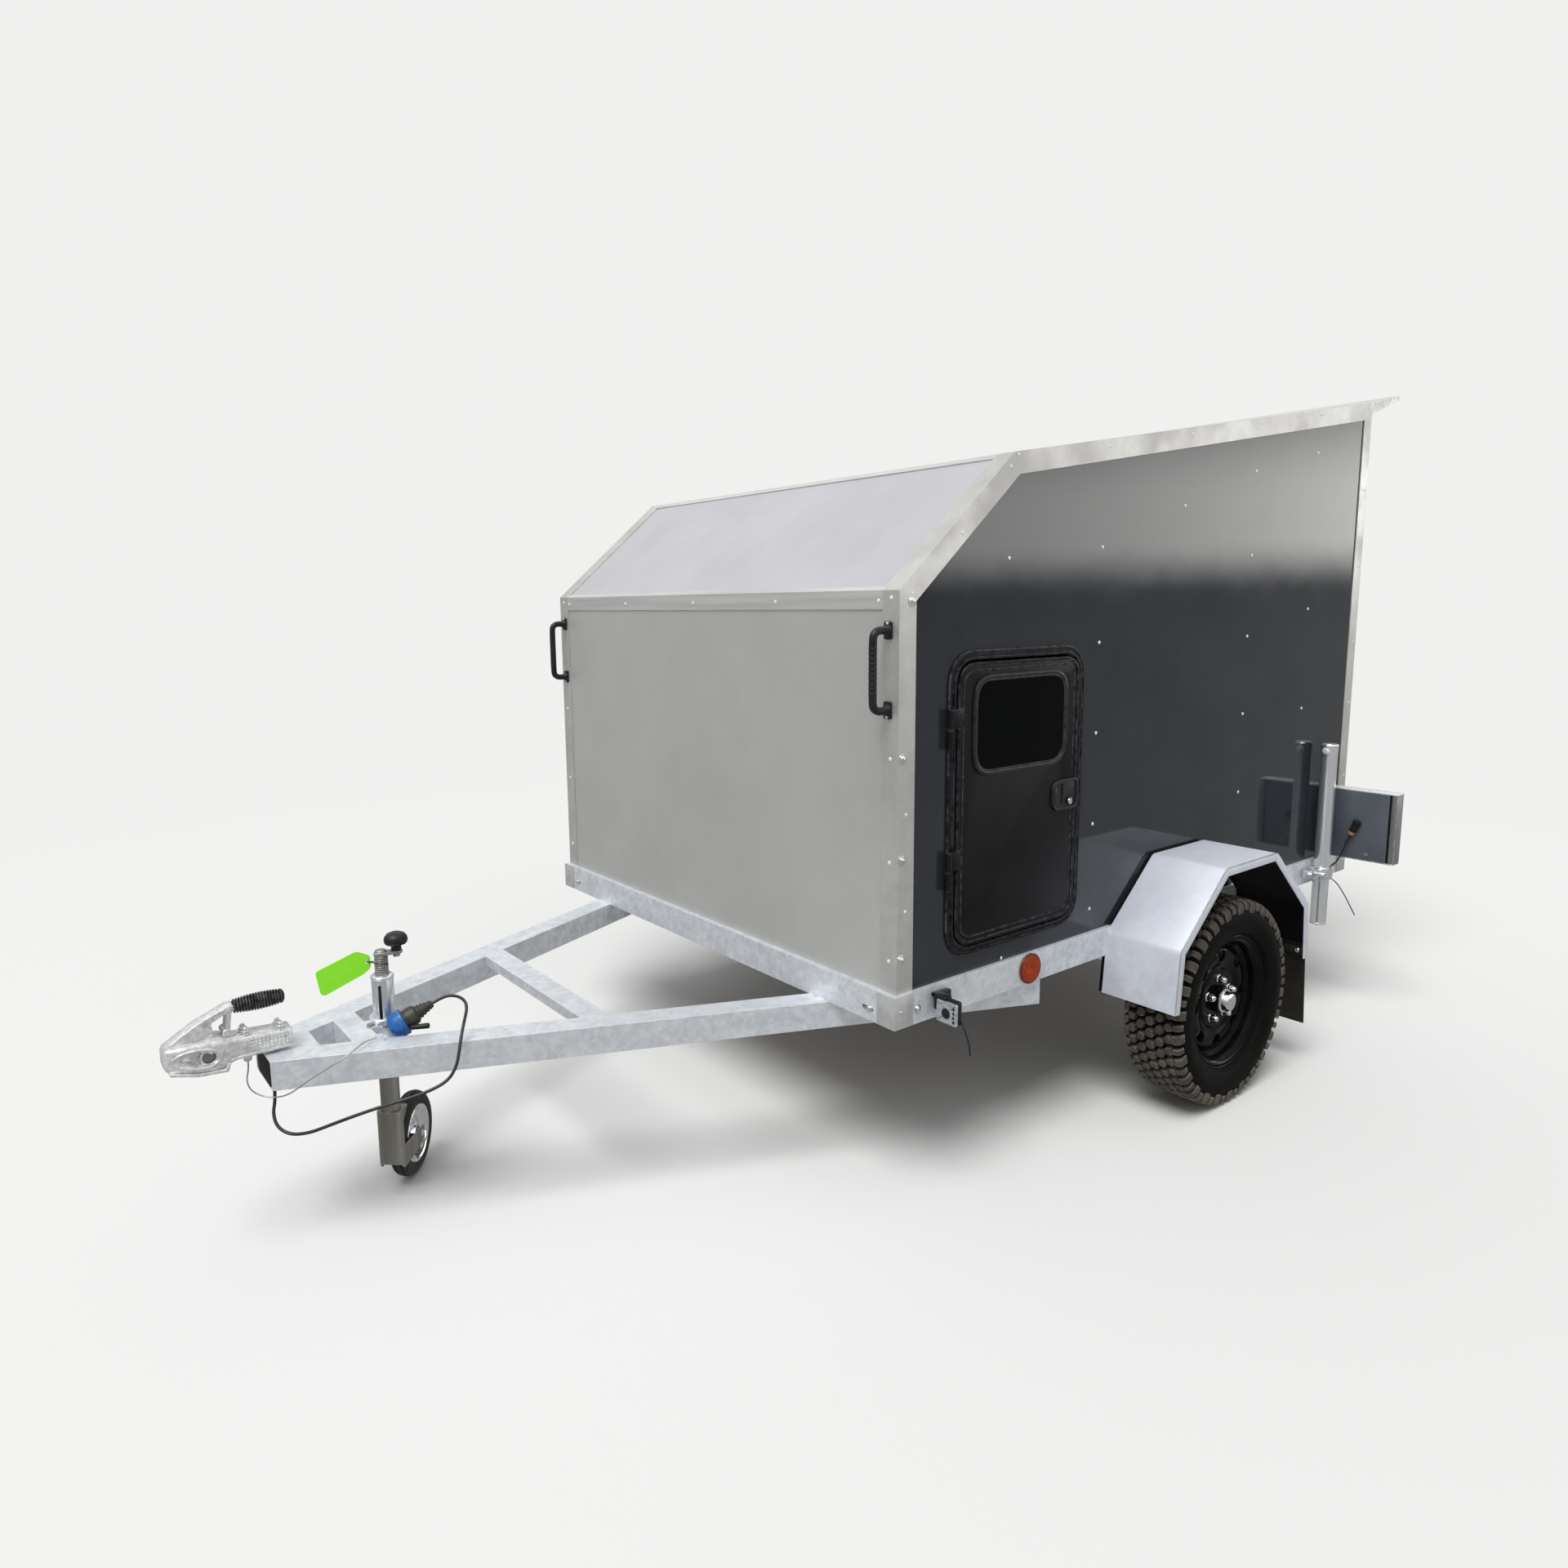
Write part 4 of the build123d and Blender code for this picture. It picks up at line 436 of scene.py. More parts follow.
# ---- Finishes ----------------------------------------------------------------------------
def effect(name, takes, gives):
    """A shared effect: a shader node group with named inputs and outputs."""
    tree = bpy.data.node_groups.new(name, "ShaderNodeTree")
    for socket, value in takes.items():
        kind = "NodeSocketVector" if isinstance(value, tuple) else "NodeSocketFloat"
        tree.interface.new_socket(socket, in_out="INPUT", socket_type=kind).default_value = value
    for socket, kind in gives.items():
        tree.interface.new_socket(socket, in_out="OUTPUT", socket_type="NodeSocket" + kind)
    return tree, tree.nodes.new("NodeGroupInput").outputs, tree.nodes.new("NodeGroupOutput").inputs


def stretched(tree, take):
    """A place on the piece, stretched along its grain."""
    spot = step(tree, "TexCoord").outputs["Object"]
    return step(tree, "VectorMath", {0: spot, 1: take["Stretch"]}, operation="MULTIPLY").outputs[0]


def between(tree, value, low, high):
    return step(tree, "MapRange", {"Value": value, "From Min": low, "From Max": high}).outputs[0]


def product(tree, first, second, **settings):
    return step(tree, "Math", {0: first, 1: second}, operation="MULTIPLY", **settings).outputs[0]


def make_patches():
    """Soft cloudy variation over the piece, stretched along its grain."""
    takes = {"Scale": 20.0, "Detail": 4.0, "Low": 0.35, "High": 0.65, "Stretch": (1.0, 1.0, 1.0)}
    tree, take, give = effect("patches", takes, {"Value": "Float"})
    cloud = step(tree, "TexNoise", {"Vector": stretched(tree, take), "Scale": take["Scale"],
            "Detail": take["Detail"], "Roughness": 0.62})
    level = between(tree, cloud.outputs["Fac"], take["Low"], take["High"])
    tree.links.new(level, give["Value"])
    return tree


def make_crystals():
    """The crystal pattern of hot-dip zinc: flat cells, each of its own brightness."""
    takes = {"Scale": 70.0, "Stretch": (1.0, 1.0, 1.0)}
    tree, take, give = effect("crystals", takes, {"Value": "Float"})
    along = stretched(tree, take)
    push = step(tree, "TexNoise", {"Vector": along, "Scale": 30.0})
    bent = step(tree, "MixRGB", {0: 0.02, 1: along, 2: push.outputs["Color"]}, blend_type="ADD")
    cells = step(tree, "TexVoronoi", {"Vector": bent.outputs[0], "Scale": take["Scale"]})
    shade = step(tree, "SeparateColor", {0: cells.outputs["Color"]})
    tree.links.new(shade.outputs[0], give["Value"])
    return tree


def make_edge_wear_and_highlight():
    """Rubbed edges, and edges painted lighter as a painted highlight: found from how the surface
    turns there.
    """
    takes = {"Radius": 0.003, "Breakup": 60.0, "Amount": 0.6}
    tree, take, give = effect("edge wear", takes, {"Wear and highlight": "Float"})
    flat = step(tree, "NewGeometry").outputs["Normal"]
    eased = step(tree, "Bevel", {"Radius": take["Radius"]}, samples=4)
    same = step(tree, "VectorMath", {0: flat, 1: eased.outputs[0]}, operation="DOT_PRODUCT")
    edge = between(tree, same.outputs["Value"], 0.995, 0.86)
    spot = step(tree, "TexCoord").outputs["Object"]
    cloud = step(tree, "TexNoise", {"Vector": spot, "Scale": take["Breakup"], "Detail": 5.0})
    broken = between(tree, cloud.outputs["Fac"], 0.38, 0.62)
    wear_and_highlight = product(tree, product(tree, edge, broken), take["Amount"])
    tree.links.new(wear_and_highlight, give["Wear and highlight"])
    return tree


def make_road_dust():
    """Dust and splashes, thicker towards the ground and in patches."""
    takes = {"Reach": 0.8, "Scale": 9.0, "Amount": 0.4}
    tree, take, give = effect("road dust", takes, {"Dust": "Float"})
    spot = step(tree, "TexCoord").outputs["Object"]
    height = step(tree, "SeparateXYZ", {0: spot}).outputs["Z"]
    low = between(tree, height, take["Reach"], 0.0)
    cloud = step(tree, "TexNoise", {"Vector": spot, "Scale": take["Scale"], "Detail": 8.0,
            "Roughness": 0.7})
    thick = between(tree, cloud.outputs["Fac"], 0.35, 0.7)
    dust = product(tree, product(tree, low, thick), take["Amount"], use_clamp=True)
    tree.links.new(dust, give["Dust"])
    return tree


def make_relief():
    """Eased edges and a fine surface grain, as a normal."""
    takes = {"Edge": 0.0008, "Scale": 400.0, "Height": 0.0001, "Stretch": (1.0, 1.0, 1.0)}
    tree, take, give = effect("relief", takes, {"Normal": "Vector"})
    grain = step(tree, "TexNoise", {"Vector": stretched(tree, take), "Scale": take["Scale"],
            "Detail": 3.0})
    eased = step(tree, "Bevel", {"Radius": take["Edge"]}, samples=4)
    bump = step(tree, "Bump", {"Height": grain.outputs["Fac"], "Distance": take["Height"],
            "Normal": eased.outputs[0]})
    tree.links.new(bump.outputs[0], give["Normal"])
    return tree


patches = make_patches()
crystals = make_crystals()
edge_wear_and_highlight = make_edge_wear_and_highlight()
road_dust = make_road_dust()
relief = make_relief()


def use(tree, shared, **values):
    node = tree.nodes.new("ShaderNodeGroup")
    node.node_tree = shared
    for name, value in values.items():
        node.inputs[name].default_value = value
    return node.outputs[0]


def blend_colours(tree, mask, first, second):
    mix = step(tree, "MixRGB", {0: mask})
    for socket, colour in ((1, first), (2, second)):
        if isinstance(colour, bpy.types.NodeSocket):
            tree.links.new(colour, mix.inputs[socket])
        else:
            mix.inputs[socket].default_value = (*colour, 1)
    return mix.outputs[0]


def finish(name, colour, second=None, rough=(0.4, 0.5), metal=0.0, patch=(14.0, 4.0),
        stretch=(1.0, 1.0, 1.0), edge=0.8, grain=(300.0, 0.05), wear_and_highlight=None, dust=None, crystal=None,
        **sockets):
    """A finish with mottled colour and gloss, grain, and coloured edges (rubbing on some finishes,
    painted highlight on others) and dust if any.
    """
    made = bpy.data.materials.new(name)
    made.use_nodes = True
    tree = made.node_tree
    shader = tree.nodes["Principled BSDF"]
    cloud = use(tree, patches, Scale=patch[0], Detail=patch[1], Stretch=stretch)
    if crystal:
        cells = use(tree, crystals, Scale=crystal[0], Stretch=stretch)
        mixed = step(tree, "Math", {0: cells, 1: crystal[1]}, operation="MULTIPLY")
        cloud = step(tree, "Math", {0: cloud, 1: 1 - crystal[1], 2: mixed.outputs[0]},
                operation="MULTIPLY_ADD").outputs[0]
    look = blend_colours(tree, cloud, colour, second or [c * 0.82 for c in colour])
    gloss = step(tree, "MapRange", {"Value": cloud, "To Min": rough[0], "To Max": rough[1]})
    gloss = gloss.outputs[0]
    # The edge colour is real rubbing on some finishes and a painted highlight along edges on
    # others.
    if wear_and_highlight:
        rubbed_and_lit_edges = use(tree, edge_wear_and_highlight, Amount=wear_and_highlight[1])
        look = blend_colours(tree, rubbed_and_lit_edges, look, wear_and_highlight[0])
    if dust:
        dirt = use(tree, road_dust, Reach=dust[1], Amount=dust[2])
        look = blend_colours(tree, dirt, look, dust[0])
        gloss = step(tree, "MapRange", {"Value": dirt, "To Min": gloss, "To Max": 0.85}).outputs[0]
    tree.links.new(look, shader.inputs["Base Color"])
    tree.links.new(gloss, shader.inputs["Roughness"])
    surface = use(tree, relief, Edge=edge * MM, Scale=grain[0], Height=grain[1] * MM,
            Stretch=stretch)
    tree.links.new(surface, shader.inputs["Normal"])
    shader.inputs["Metallic"].default_value = metal
    for socket, value in sockets.items():
        shader.inputs[socket.replace("_", " ")].default_value = value
    return made


ROAD = (0.20, 0.17, 0.13)
ALONG, UPRIGHT, ACROSS = (0.03, 1.0, 1.0), (1.0, 1.0, 0.03), (1.0, 0.03, 1.0)

# Its edge colour is painted highlight: a bright line along the rails' edges and ledges.
galvanised = finish("galvanised steel", (0.90, 0.93, 0.97), (0.58, 0.615, 0.655), (0.34, 0.60),
        0.55, (26.0, 8.0), crystal=(85.0, 0.45), grain=(160.0, 0.25), edge=1.5,
        wear_and_highlight=((0.97, 0.98, 1.0), 0.9), dust=(ROAD, 0.55, 0.08))
zinc = finish("bright zinc plate", (0.84, 0.86, 0.88), (0.62, 0.64, 0.67), (0.16, 0.34), 0.9,
        (30.0, 6.0), grain=(220.0, 0.06), wear_and_highlight=((0.9, 0.9, 0.9), 0.3), dust=(ROAD, 0.4, 0.15))
# Its edge colour is painted highlight: white lines along the edges of the coupling's pressings.
cast_zinc = finish("zinc on pressed steel", (0.97, 0.97, 0.965), (0.44, 0.44, 0.44), (0.26, 0.48),
        0.45, (85.0, 8.0), crystal=(190.0, 0.4), grain=(260.0, 0.35), edge=1.6,
        wear_and_highlight=((0.97, 0.97, 0.97), 0.6))
alu_across = finish("mill aluminium, crossways", (0.70, 0.70, 0.69), (0.52, 0.52, 0.515),
        (0.34, 0.50), 0.55, (60.0, 6.0), ACROSS, grain=(420.0, 0.05), edge=1.0,
        wear_and_highlight=((0.9, 0.9, 0.9), 0.4))
satin_panel = finish("satin silver panel", (0.47, 0.475, 0.46), (0.43, 0.435, 0.42), (0.34, 0.42),
        0.25, (3.0, 3.0), grain=(900.0, 0.02), dust=(ROAD, 1.1, 0.05))
gloss_panel = finish("gloss anthracite panel", (0.021, 0.024, 0.030), (0.027, 0.031, 0.038),
        (0.035, 0.07), 0.0, (5.0, 5.0), grain=(2.2, 0.9), edge=0.5, dust=(ROAD, 1.1, 0.05),
        Specular_IOR_Level=0.4)
board = finish("faced plywood", (0.16, 0.12, 0.09), (0.11, 0.08, 0.06), (0.45, 0.6), 0.0,
        (10.0, 6.0), ALONG, grain=(300.0, 0.08))
# Its edge colour is painted highlight: light lines along the door's mouldings and edges.
door_plastic = finish("black moulded door", (0.006, 0.006, 0.007), (0.009, 0.009, 0.0105),
        (0.34, 0.46), 0.0, (8.0, 4.0), grain=(900.0, 0.06), edge=1.6,
        wear_and_highlight=((0.16, 0.17, 0.18), 0.75), dust=(ROAD, 1.0, 0.02), Specular_IOR_Level=0.12)
black_plastic = finish("black plastic", (0.007, 0.007, 0.0075), (0.012, 0.012, 0.0125),
        (0.30, 0.46), 0.0, (40.0, 5.0), grain=(1200.0, 0.03), edge=1.2,
        wear_and_highlight=((0.05, 0.05, 0.05), 0.5), Specular_IOR_Level=0.35)
black_rubber = finish("black rubber", (0.007, 0.0068, 0.0066), (0.014, 0.0135, 0.013),
        (0.46, 0.68), 0.0, (30.0, 6.0), grain=(700.0, 0.06), dust=(ROAD, 0.5, 0.14),
        Specular_IOR_Level=0.3)
tyre_rubber = finish("tyre rubber", (0.015, 0.0135, 0.012), (0.052, 0.045, 0.038), (0.55, 0.8),
        0.0, (22.0, 8.0), grain=(500.0, 0.12), edge=1.0, wear_and_highlight=((0.38, 0.33, 0.27), 1.0),
        dust=((0.20, 0.165, 0.125), 0.75, 0.6))
tyre_side = finish("tyre side wall", (0.003, 0.003, 0.003), (0.006, 0.0059, 0.0057), (0.42, 0.6),
        0.0, (30.0, 8.0), grain=(420.0, 0.12), edge=1.0, dust=((0.08, 0.07, 0.055), 0.6, 0.05),
        Specular_IOR_Level=0.04)
rim_paint = finish("black wheel paint", (0.003, 0.003, 0.0032), (0.005, 0.005, 0.0052),
        (0.08, 0.20), 0.0, (18.0, 5.0), grain=(240.0, 0.08), edge=1.0,
        wear_and_highlight=((0.06, 0.06, 0.06), 0.4), dust=(ROAD, 0.6, 0.01), Specular_IOR_Level=0.08)
chrome = finish("chrome", (0.90, 0.90, 0.91), (0.75, 0.76, 0.78), (0.05, 0.14), 1.0, (50.0, 5.0),
        grain=(120.0, 0.02), edge=0.6, dust=(ROAD, 0.5, 0.12))
# Its edge colour is painted highlight: bright lines along the edges of the jockey leg and fork.
leg_steel = finish("dull steel", (0.36, 0.35, 0.32), (0.20, 0.19, 0.17), (0.42, 0.62), 0.7,
        (34.0, 8.0), UPRIGHT, grain=(300.0, 0.12), edge=1.5, wear_and_highlight=((0.70, 0.68, 0.62), 0.9),
        dust=(ROAD, 0.35, 0.4))
alu_dull = finish("dull aluminium plate", (0.62, 0.63, 0.62), (0.50, 0.51, 0.50), (0.38, 0.52),
        0.5, (30.0, 6.0), grain=(300.0, 0.06), edge=1.0, wear_and_highlight=((0.9, 0.9, 0.9), 0.5),
        dust=(ROAD, 0.6, 0.15))
bright_rivet = finish("bright rivet", (0.92, 0.92, 0.92), (0.80, 0.80, 0.80), (0.25, 0.35), 0.30,
        (60.0, 3.0), grain=(200.0, 0.02), edge=0.4)
# Its edge colour is painted highlight along the guard's folds and lip; its lower part is painted
# darker grey in patches.
guard_metal = finish("satin folded aluminium", (0.74, 0.77, 0.85), (0.64, 0.67, 0.76),
        (0.36, 0.48), 0.15, (8.0, 5.0), grain=(500.0, 0.04), edge=1.5,
        wear_and_highlight=((0.95, 0.95, 0.97), 0.9), dust=((0.25, 0.245, 0.255), 0.70, 0.9))
tinted = finish("tinted glazing", (0.001, 0.0015, 0.0015), (0.0015, 0.002, 0.002), (0.02, 0.05),
        0.0, (3.0, 2.0), grain=(1.5, 0.3), edge=1.0, Specular_IOR_Level=0.06)
blue_plastic = finish("blue plastic", (0.012, 0.13, 0.44), (0.010, 0.09, 0.32), (0.30, 0.45), 0.0,
        (40.0, 5.0), grain=(900.0, 0.04), edge=1.5, wear_and_highlight=((0.2, 0.4, 0.7), 0.4))
green_tag = finish("green tag", (0.33, 1.0, 0.020), (0.29, 0.95, 0.014), (0.30, 0.42), 0.0,
        (24.0, 4.0), grain=(60.0, 0.10), edge=0.4)
amber = finish("amber lens", (0.50, 0.060, 0.004), (0.28, 0.030, 0.003), (0.16, 0.26), 0.0,
        (60.0, 4.0), grain=(330.0, 0.25), Specular_IOR_Level=0.35)
amber_rim = finish("amber rim", (0.16, 0.020, 0.005), (0.10, 0.013, 0.004), (0.2, 0.34), 0.0,
        (60.0, 4.0), grain=(400.0, 0.1), edge=0.6)
red_lens = finish("red lens", (0.42, 0.008, 0.008), (0.30, 0.006, 0.006), (0.08, 0.16), 0.0,
        (60.0, 4.0), grain=(330.0, 0.3), Coat_Weight=0.5)
clear_lens = finish("clear lens", (0.55, 0.58, 0.60), (0.30, 0.32, 0.34), (0.05, 0.14), 0.35,
        (120.0, 4.0), grain=(260.0, 0.5), Coat_Weight=0.8)
# A copy of the satin silver panel, painted lighter and a little bluer: painted light on the
# upward-facing slope.
lit_slope_panel = finish("satin pale panel", (0.52, 0.52, 0.55), (0.48, 0.48, 0.51), (0.34, 0.44),
        0.20, (3.0, 3.0), grain=(900.0, 0.02))
lamp_panel = finish("grey-blue lamp panel", (0.125, 0.140, 0.165), (0.095, 0.107, 0.128),
        (0.22, 0.34), 0.1, (6.0, 4.0), grain=(700.0, 0.03), dust=(ROAD, 0.8, 0.06))
# Black lining, also used as painted shade under the mudguards and across the drawbar's open end.
lining_and_shade = finish("black lining", (0.003, 0.003, 0.003), (0.005, 0.005, 0.005), (0.5, 0.7), 0.0,
        (20.0, 5.0), grain=(500.0, 0.1), Specular_IOR_Level=0.15)
post_alu = finish("mill aluminium post", (0.60, 0.595, 0.58), (0.47, 0.465, 0.45), (0.34, 0.46),
        0.55, (7.0, 5.0), grain=(600.0, 0.04), edge=1.0, wear_and_highlight=((0.92, 0.92, 0.92), 0.4))
tube_zinc = finish("zinc tube", (0.93, 0.95, 0.97), (0.60, 0.63, 0.66), (0.14, 0.28), 0.85,
        (22.0, 6.0), UPRIGHT, grain=(260.0, 0.06), dust=(ROAD, 0.45, 0.15))
worn_zinc = finish("worn zinc", (0.44, 0.44, 0.43), (0.24, 0.235, 0.225), (0.34, 0.55), 0.8,
        (70.0, 8.0), grain=(260.0, 0.2), edge=0.8, wear_and_highlight=((0.75, 0.75, 0.74), 0.6),
        dust=(ROAD, 0.7, 0.25))
brown_rubber = finish("brown-grey rubber", (0.030, 0.026, 0.023), (0.045, 0.040, 0.035),
        (0.45, 0.62), 0.0, (40.0, 5.0), grain=(600.0, 0.06), edge=1.0)
# Its edge colour is painted highlight: a thin light line along the seal's edges.
seal_rubber = finish("window seal", (0.010, 0.0105, 0.011), (0.014, 0.0145, 0.015), (0.28, 0.4),
        0.0, (30.0, 5.0), grain=(700.0, 0.04), edge=1.5, wear_and_highlight=((0.14, 0.15, 0.155), 0.6),
        Specular_IOR_Level=0.25)
copper_pink = finish("pale pink collar", (0.62, 0.27, 0.17), (0.50, 0.20, 0.12), (0.3, 0.42), 0.2,
        (60.0, 4.0), grain=(300.0, 0.05), edge=0.8)
worn_alu = finish("worn aluminium", (0.36, 0.36, 0.355), (0.20, 0.20, 0.20), (0.34, 0.5), 0.6,
        (34.0, 8.0), UPRIGHT, grain=(300.0, 0.06), edge=1.5, wear_and_highlight=((0.97, 0.97, 0.97), 1.0))
# Its edge colour is painted highlight: light lines along the grip's ribs.
ribbed_plastic = finish("ribbed grip", (0.006, 0.006, 0.0065), (0.011, 0.011, 0.0115),
        (0.24, 0.38), 0.0, (40.0, 5.0), grain=(900.0, 0.03), edge=0.8,
        wear_and_highlight=((0.22, 0.22, 0.22), 0.9), Specular_IOR_Level=0.35)
sheath = finish("black cable sheath", (0.012, 0.012, 0.012), (0.022, 0.022, 0.021), (0.34, 0.5),
        0.0, (40.0, 5.0), grain=(600.0, 0.05))
wire_rope = finish("steel wire rope", (0.62, 0.63, 0.65), (0.26, 0.27, 0.28), (0.26, 0.42), 1.0,
        (500.0, 3.0), grain=(900.0, 0.3))


def paint(finish_used, *names):
    for name in names:
        mesh = nodes[name].data
        mesh.materials.clear()
        mesh.materials.append(finish_used)


paint(galvanised, "chassis_side_rails", "chassis_end_rails", "chassis_cross_members",
      "drawbar_rail_left", "drawbar_rail_right", "drawbar_plates", "axle_beam", "jockey_mount",
      "suspension_arms")
paint(black_rubber, "mudflaps")
paint(leg_steel, "jockey_leg", "jockey_fork")
paint(gloss_panel, "side_wall_left", "side_wall_right")
paint(satin_panel, "front_wall", "roof_panel", "rear_hatch")
paint(lit_slope_panel, "sloped_panel")
paint(board, "floor_panel")
paint(post_alu, "edge_trim_left", "edge_trim_right")
paint(alu_across, "cross_trims", "roof_lip")


# ---- Cords -------------------------------------------------------------------------------
def cord(name, route, radius, finish_used):
    """A cord along its route's points, left as a curve."""
    piece = wire(name, route, radius, 3, 8)
    piece.data.materials.append(finish_used)
    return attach(piece, "trailer")


plug_cap_place, plug_end = Vector((1373, 69, 438)), Vector((1296, 85, 476))
plug_axis = (plug_end - plug_cap_place).normalized()
tow_lead = cord("tow_lead_cord", [(1627, 44, 357), (1627, 44, 334), (1636, 54, 309),
        (1633, 70, 284), (1614, 92, 270), (1583, 120, 275), (1545, 150, 294), (1503, 180, 313),
        (1459, 206, 328), (1413, 228, 339), (1369, 245, 350), (1331, 254, 365), (1310, 251, 390),
        (1299, 243, 420), (1287, 229, 449), (1269, 205, 471), (1250, 173, 482), (1242, 138, 487),
        (1250, 108, 490), plug_end + plug_axis * 28, plug_end], 3.5, sheath)
safety_cable = cord("safety_cable_cord", [(1669, 24, 429), (1669, 24, 407), (1676, 27, 386),
        (1672, 33, 366), (1657, 43, 352), (1637, 57, 346), (1617, 76, 350), (1600, 94, 363),
        (1580, 106, 380), (1557, 117, 396), (1535, 129, 410), (1514, 139, 423), (1496, 141, 433),
        (1476, 131, 438), (1460, 115, 438), (1444, 106, 437), (1430, 106, 437)], 1.5, wire_rope)
board_line = [(844, 576), (832, 537), (820, 503), (806, 481), (788, 468), (770, 468)]
gland_top = (844 + 40 * sin(radians(23)), 576 + 40 * cos(radians(23)))
board_leads = [
        cord(f"board_lead_{side_name}_cord",
                [(-1478.8, side * y, z) for y, z in [gland_top] + board_line], 2.5, sheath)
        for side, side_name in ((1, "left"), (-1, "right"))]

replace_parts(tow_lead, "tow_lead")
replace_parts(safety_cable, "safety_cable")
for lead, side, side_name in zip(board_leads, (1, -1), ("left", "right")):
    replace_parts(lead, f"board_lead_{side_name}")


# ---- Shapes drawn by several pieces --------------------------------------------------------
def eased(points, radius, steps=5, closed=False):
    """Flat outline points with each corner rounded off."""
    count = len(points)
    done = []
    for i, here in enumerate(points):
        if not closed and i in (0, count - 1):
            done.append(tuple(here))
            continue
        here = Vector(here)
        back = Vector(points[i - 1]) - here
        on = Vector(points[(i + 1) % count]) - here
        reach = min(radius, back.length * 0.49, on.length * 0.49)
        start, end = here + back.normalized() * reach, here + on.normalized() * reach
        for k in range(steps + 1):
            t = k / steps
            done.append(tuple(start * (1 - t) ** 2 + here * 2 * t * (1 - t) + end * t ** 2))
    return done


def rounded_box(width, height, corner, steps=5):
    """Outline of a rectangle with rounded corners about zero."""
    half, rise = width / 2, height / 2
    corners = oblong(half, rise, -half, -rise)
    return eased(corners, corner, steps, closed=True)


def dome(name, radius, height, steps=12, flange=0.0):
    """A rivet or bolt head standing up from zero along Z."""
    profile = [(0, radius), (height * 0.35, radius * 0.94), (height * 0.75, radius * 0.6),
            (height, 0.001)]
    if flange:
        profile = [(0, radius + flange), (flange * 0.5, radius + flange)] + [
                (flange * 0.5 + a, r) for a, r in profile]
    return turned(name, [(0, 0.001)] + profile, steps=steps)


def hex_head(name, radius, height):
    """A hexagon nut or bolt head standing up from zero, its top corners eased."""
    outline = [(radius * cos(radians(60 * k)), radius * sin(radians(60 * k)), 0) for k in range(6)]
    return slab(name, outline, (0, 0, height), radius * 0.12, 2)


def facing(piece, axis):
    """Turn a piece that stands up from zero so that it stands out along an axis."""
    pick(piece)
    piece.matrix_world = Vector(axis).to_track_quat("Z", "Y").to_matrix().to_4x4()
    settled()
    return piece


# ---- Wheels ------------------------------------------------------------------------------
WHEEL = (-556, 892.5, 282.5)
TREAD_FOOT, TREAD_HEIGHT = 263.0, 19.0      # radius under the tread blocks, and their height


def wheel_ring(name, profile, steps=96):
    """Spun about the axle: (outward from the middle of the wheel, radius)."""
    return turned(name, profile, WHEEL, (0, 1, 0), steps)


def around_axle(piece, count):
    """Copies of a piece evenly round the axle."""
    edit(piece)
    choose_all()
    bpy.ops.mesh.spin(steps=count - 1, angle=radians(360 - 360 / count), center=at(*WHEEL),
            axis=(0, 1, 0), dupli=True)
    leave()
    return piece


def tread_block(offset, along, width, length, twist, drop=0.0, lean=0.0):
    """One tread block, above the axle: a rounded lump with eased top edges."""
    outline = [(0.5, 0.22), (0.28, 0.5), (-0.28, 0.5), (-0.5, 0.22), (-0.5, -0.22), (-0.28, -0.5),
            (0.28, -0.5), (0.5, -0.22)]
    swing = radians(twist)
    foot = []
    for u, v in outline:
        x = u * length * cos(swing) - v * width * sin(swing)
        y = u * length * sin(swing) + v * width * cos(swing)
        foot.append((WHEEL[0] + along + x, WHEEL[1] + offset + y, WHEEL[2] + TREAD_FOOT))
    block_made = slab("tread", foot, (0, 0, TREAD_HEIGHT - drop))
    choose(block_made, lambda c, n: n.z > 0.9)
    bpy.ops.transform.resize(value=(0.86, 0.86, 1.0))
    bpy.ops.mesh.bevel(offset=2.2 * MM, segments=2, affect="EDGES")
    leave()
    return turn(block_made, lean, (1, 0, 0), (WHEEL[0], WHEEL[1] + offset, WHEEL[2] + 268.0))


def shoulder_lug(length, low):
    """A lug that wraps from the tread's edge down over the side wall."""
    side = [(62, 264), (62, 279.8), (72, 277.6), (79.5, 271), (81.9, 258), (82.0, low),
            (78, low - 3), (74, 256)]
    outline = [(WHEEL[0] - length / 2, WHEEL[1] + y, WHEEL[2] + r) for y, r in side]
    return slab("lug", outline, (length, 0, 0), 2.0, 1)


def make_tyre():
    carcass = wheel_ring("tyre_left_carcass", [(-62, 172), (-63, 184), (-72, 190), (-79, 208),
            (-81.5, 228), (-80, 246), (-73, 261), (-62, 266), (-30, 267), (0, 267.5), (30, 267),
            (62, 266), (73, 261), (80, 246), (81.5, 228), (80.6, 214), (79.4, 211), (78.4, 206),
            (75, 195), (72.5, 190), (68, 187.5), (66.5, 184.5), (63, 184), (62, 172), (-62, 172)],
            120)
    blocks = [tread_block(0, 0, 23, 27, 8), tread_block(26.5, 17, 22, 26, -12, 1.2),
            tread_block(-26.5, 17, 22, 26, -12, 1.2), tread_block(51, 2, 20, 25, 10, 1.0, -4),
            tread_block(-51, 2, 20, 25, 10, 1.0, 4)]
    tread = around_axle(joined(blocks), 52)
    near = joined([shoulder_lug(24, 249), turn(shoulder_lug(16, 256), 180 / 26, (0, 1, 0), WHEEL)])
    far = twin(near, "far lugs", WHEEL)
    lugs = around_axle(joined([near, turn(far, 3.4, (0, 1, 0), WHEEL)]), 26)
    tread = joined([tread, lugs])
    tread.name = "tyre_left_tread"
    return carcass, tread


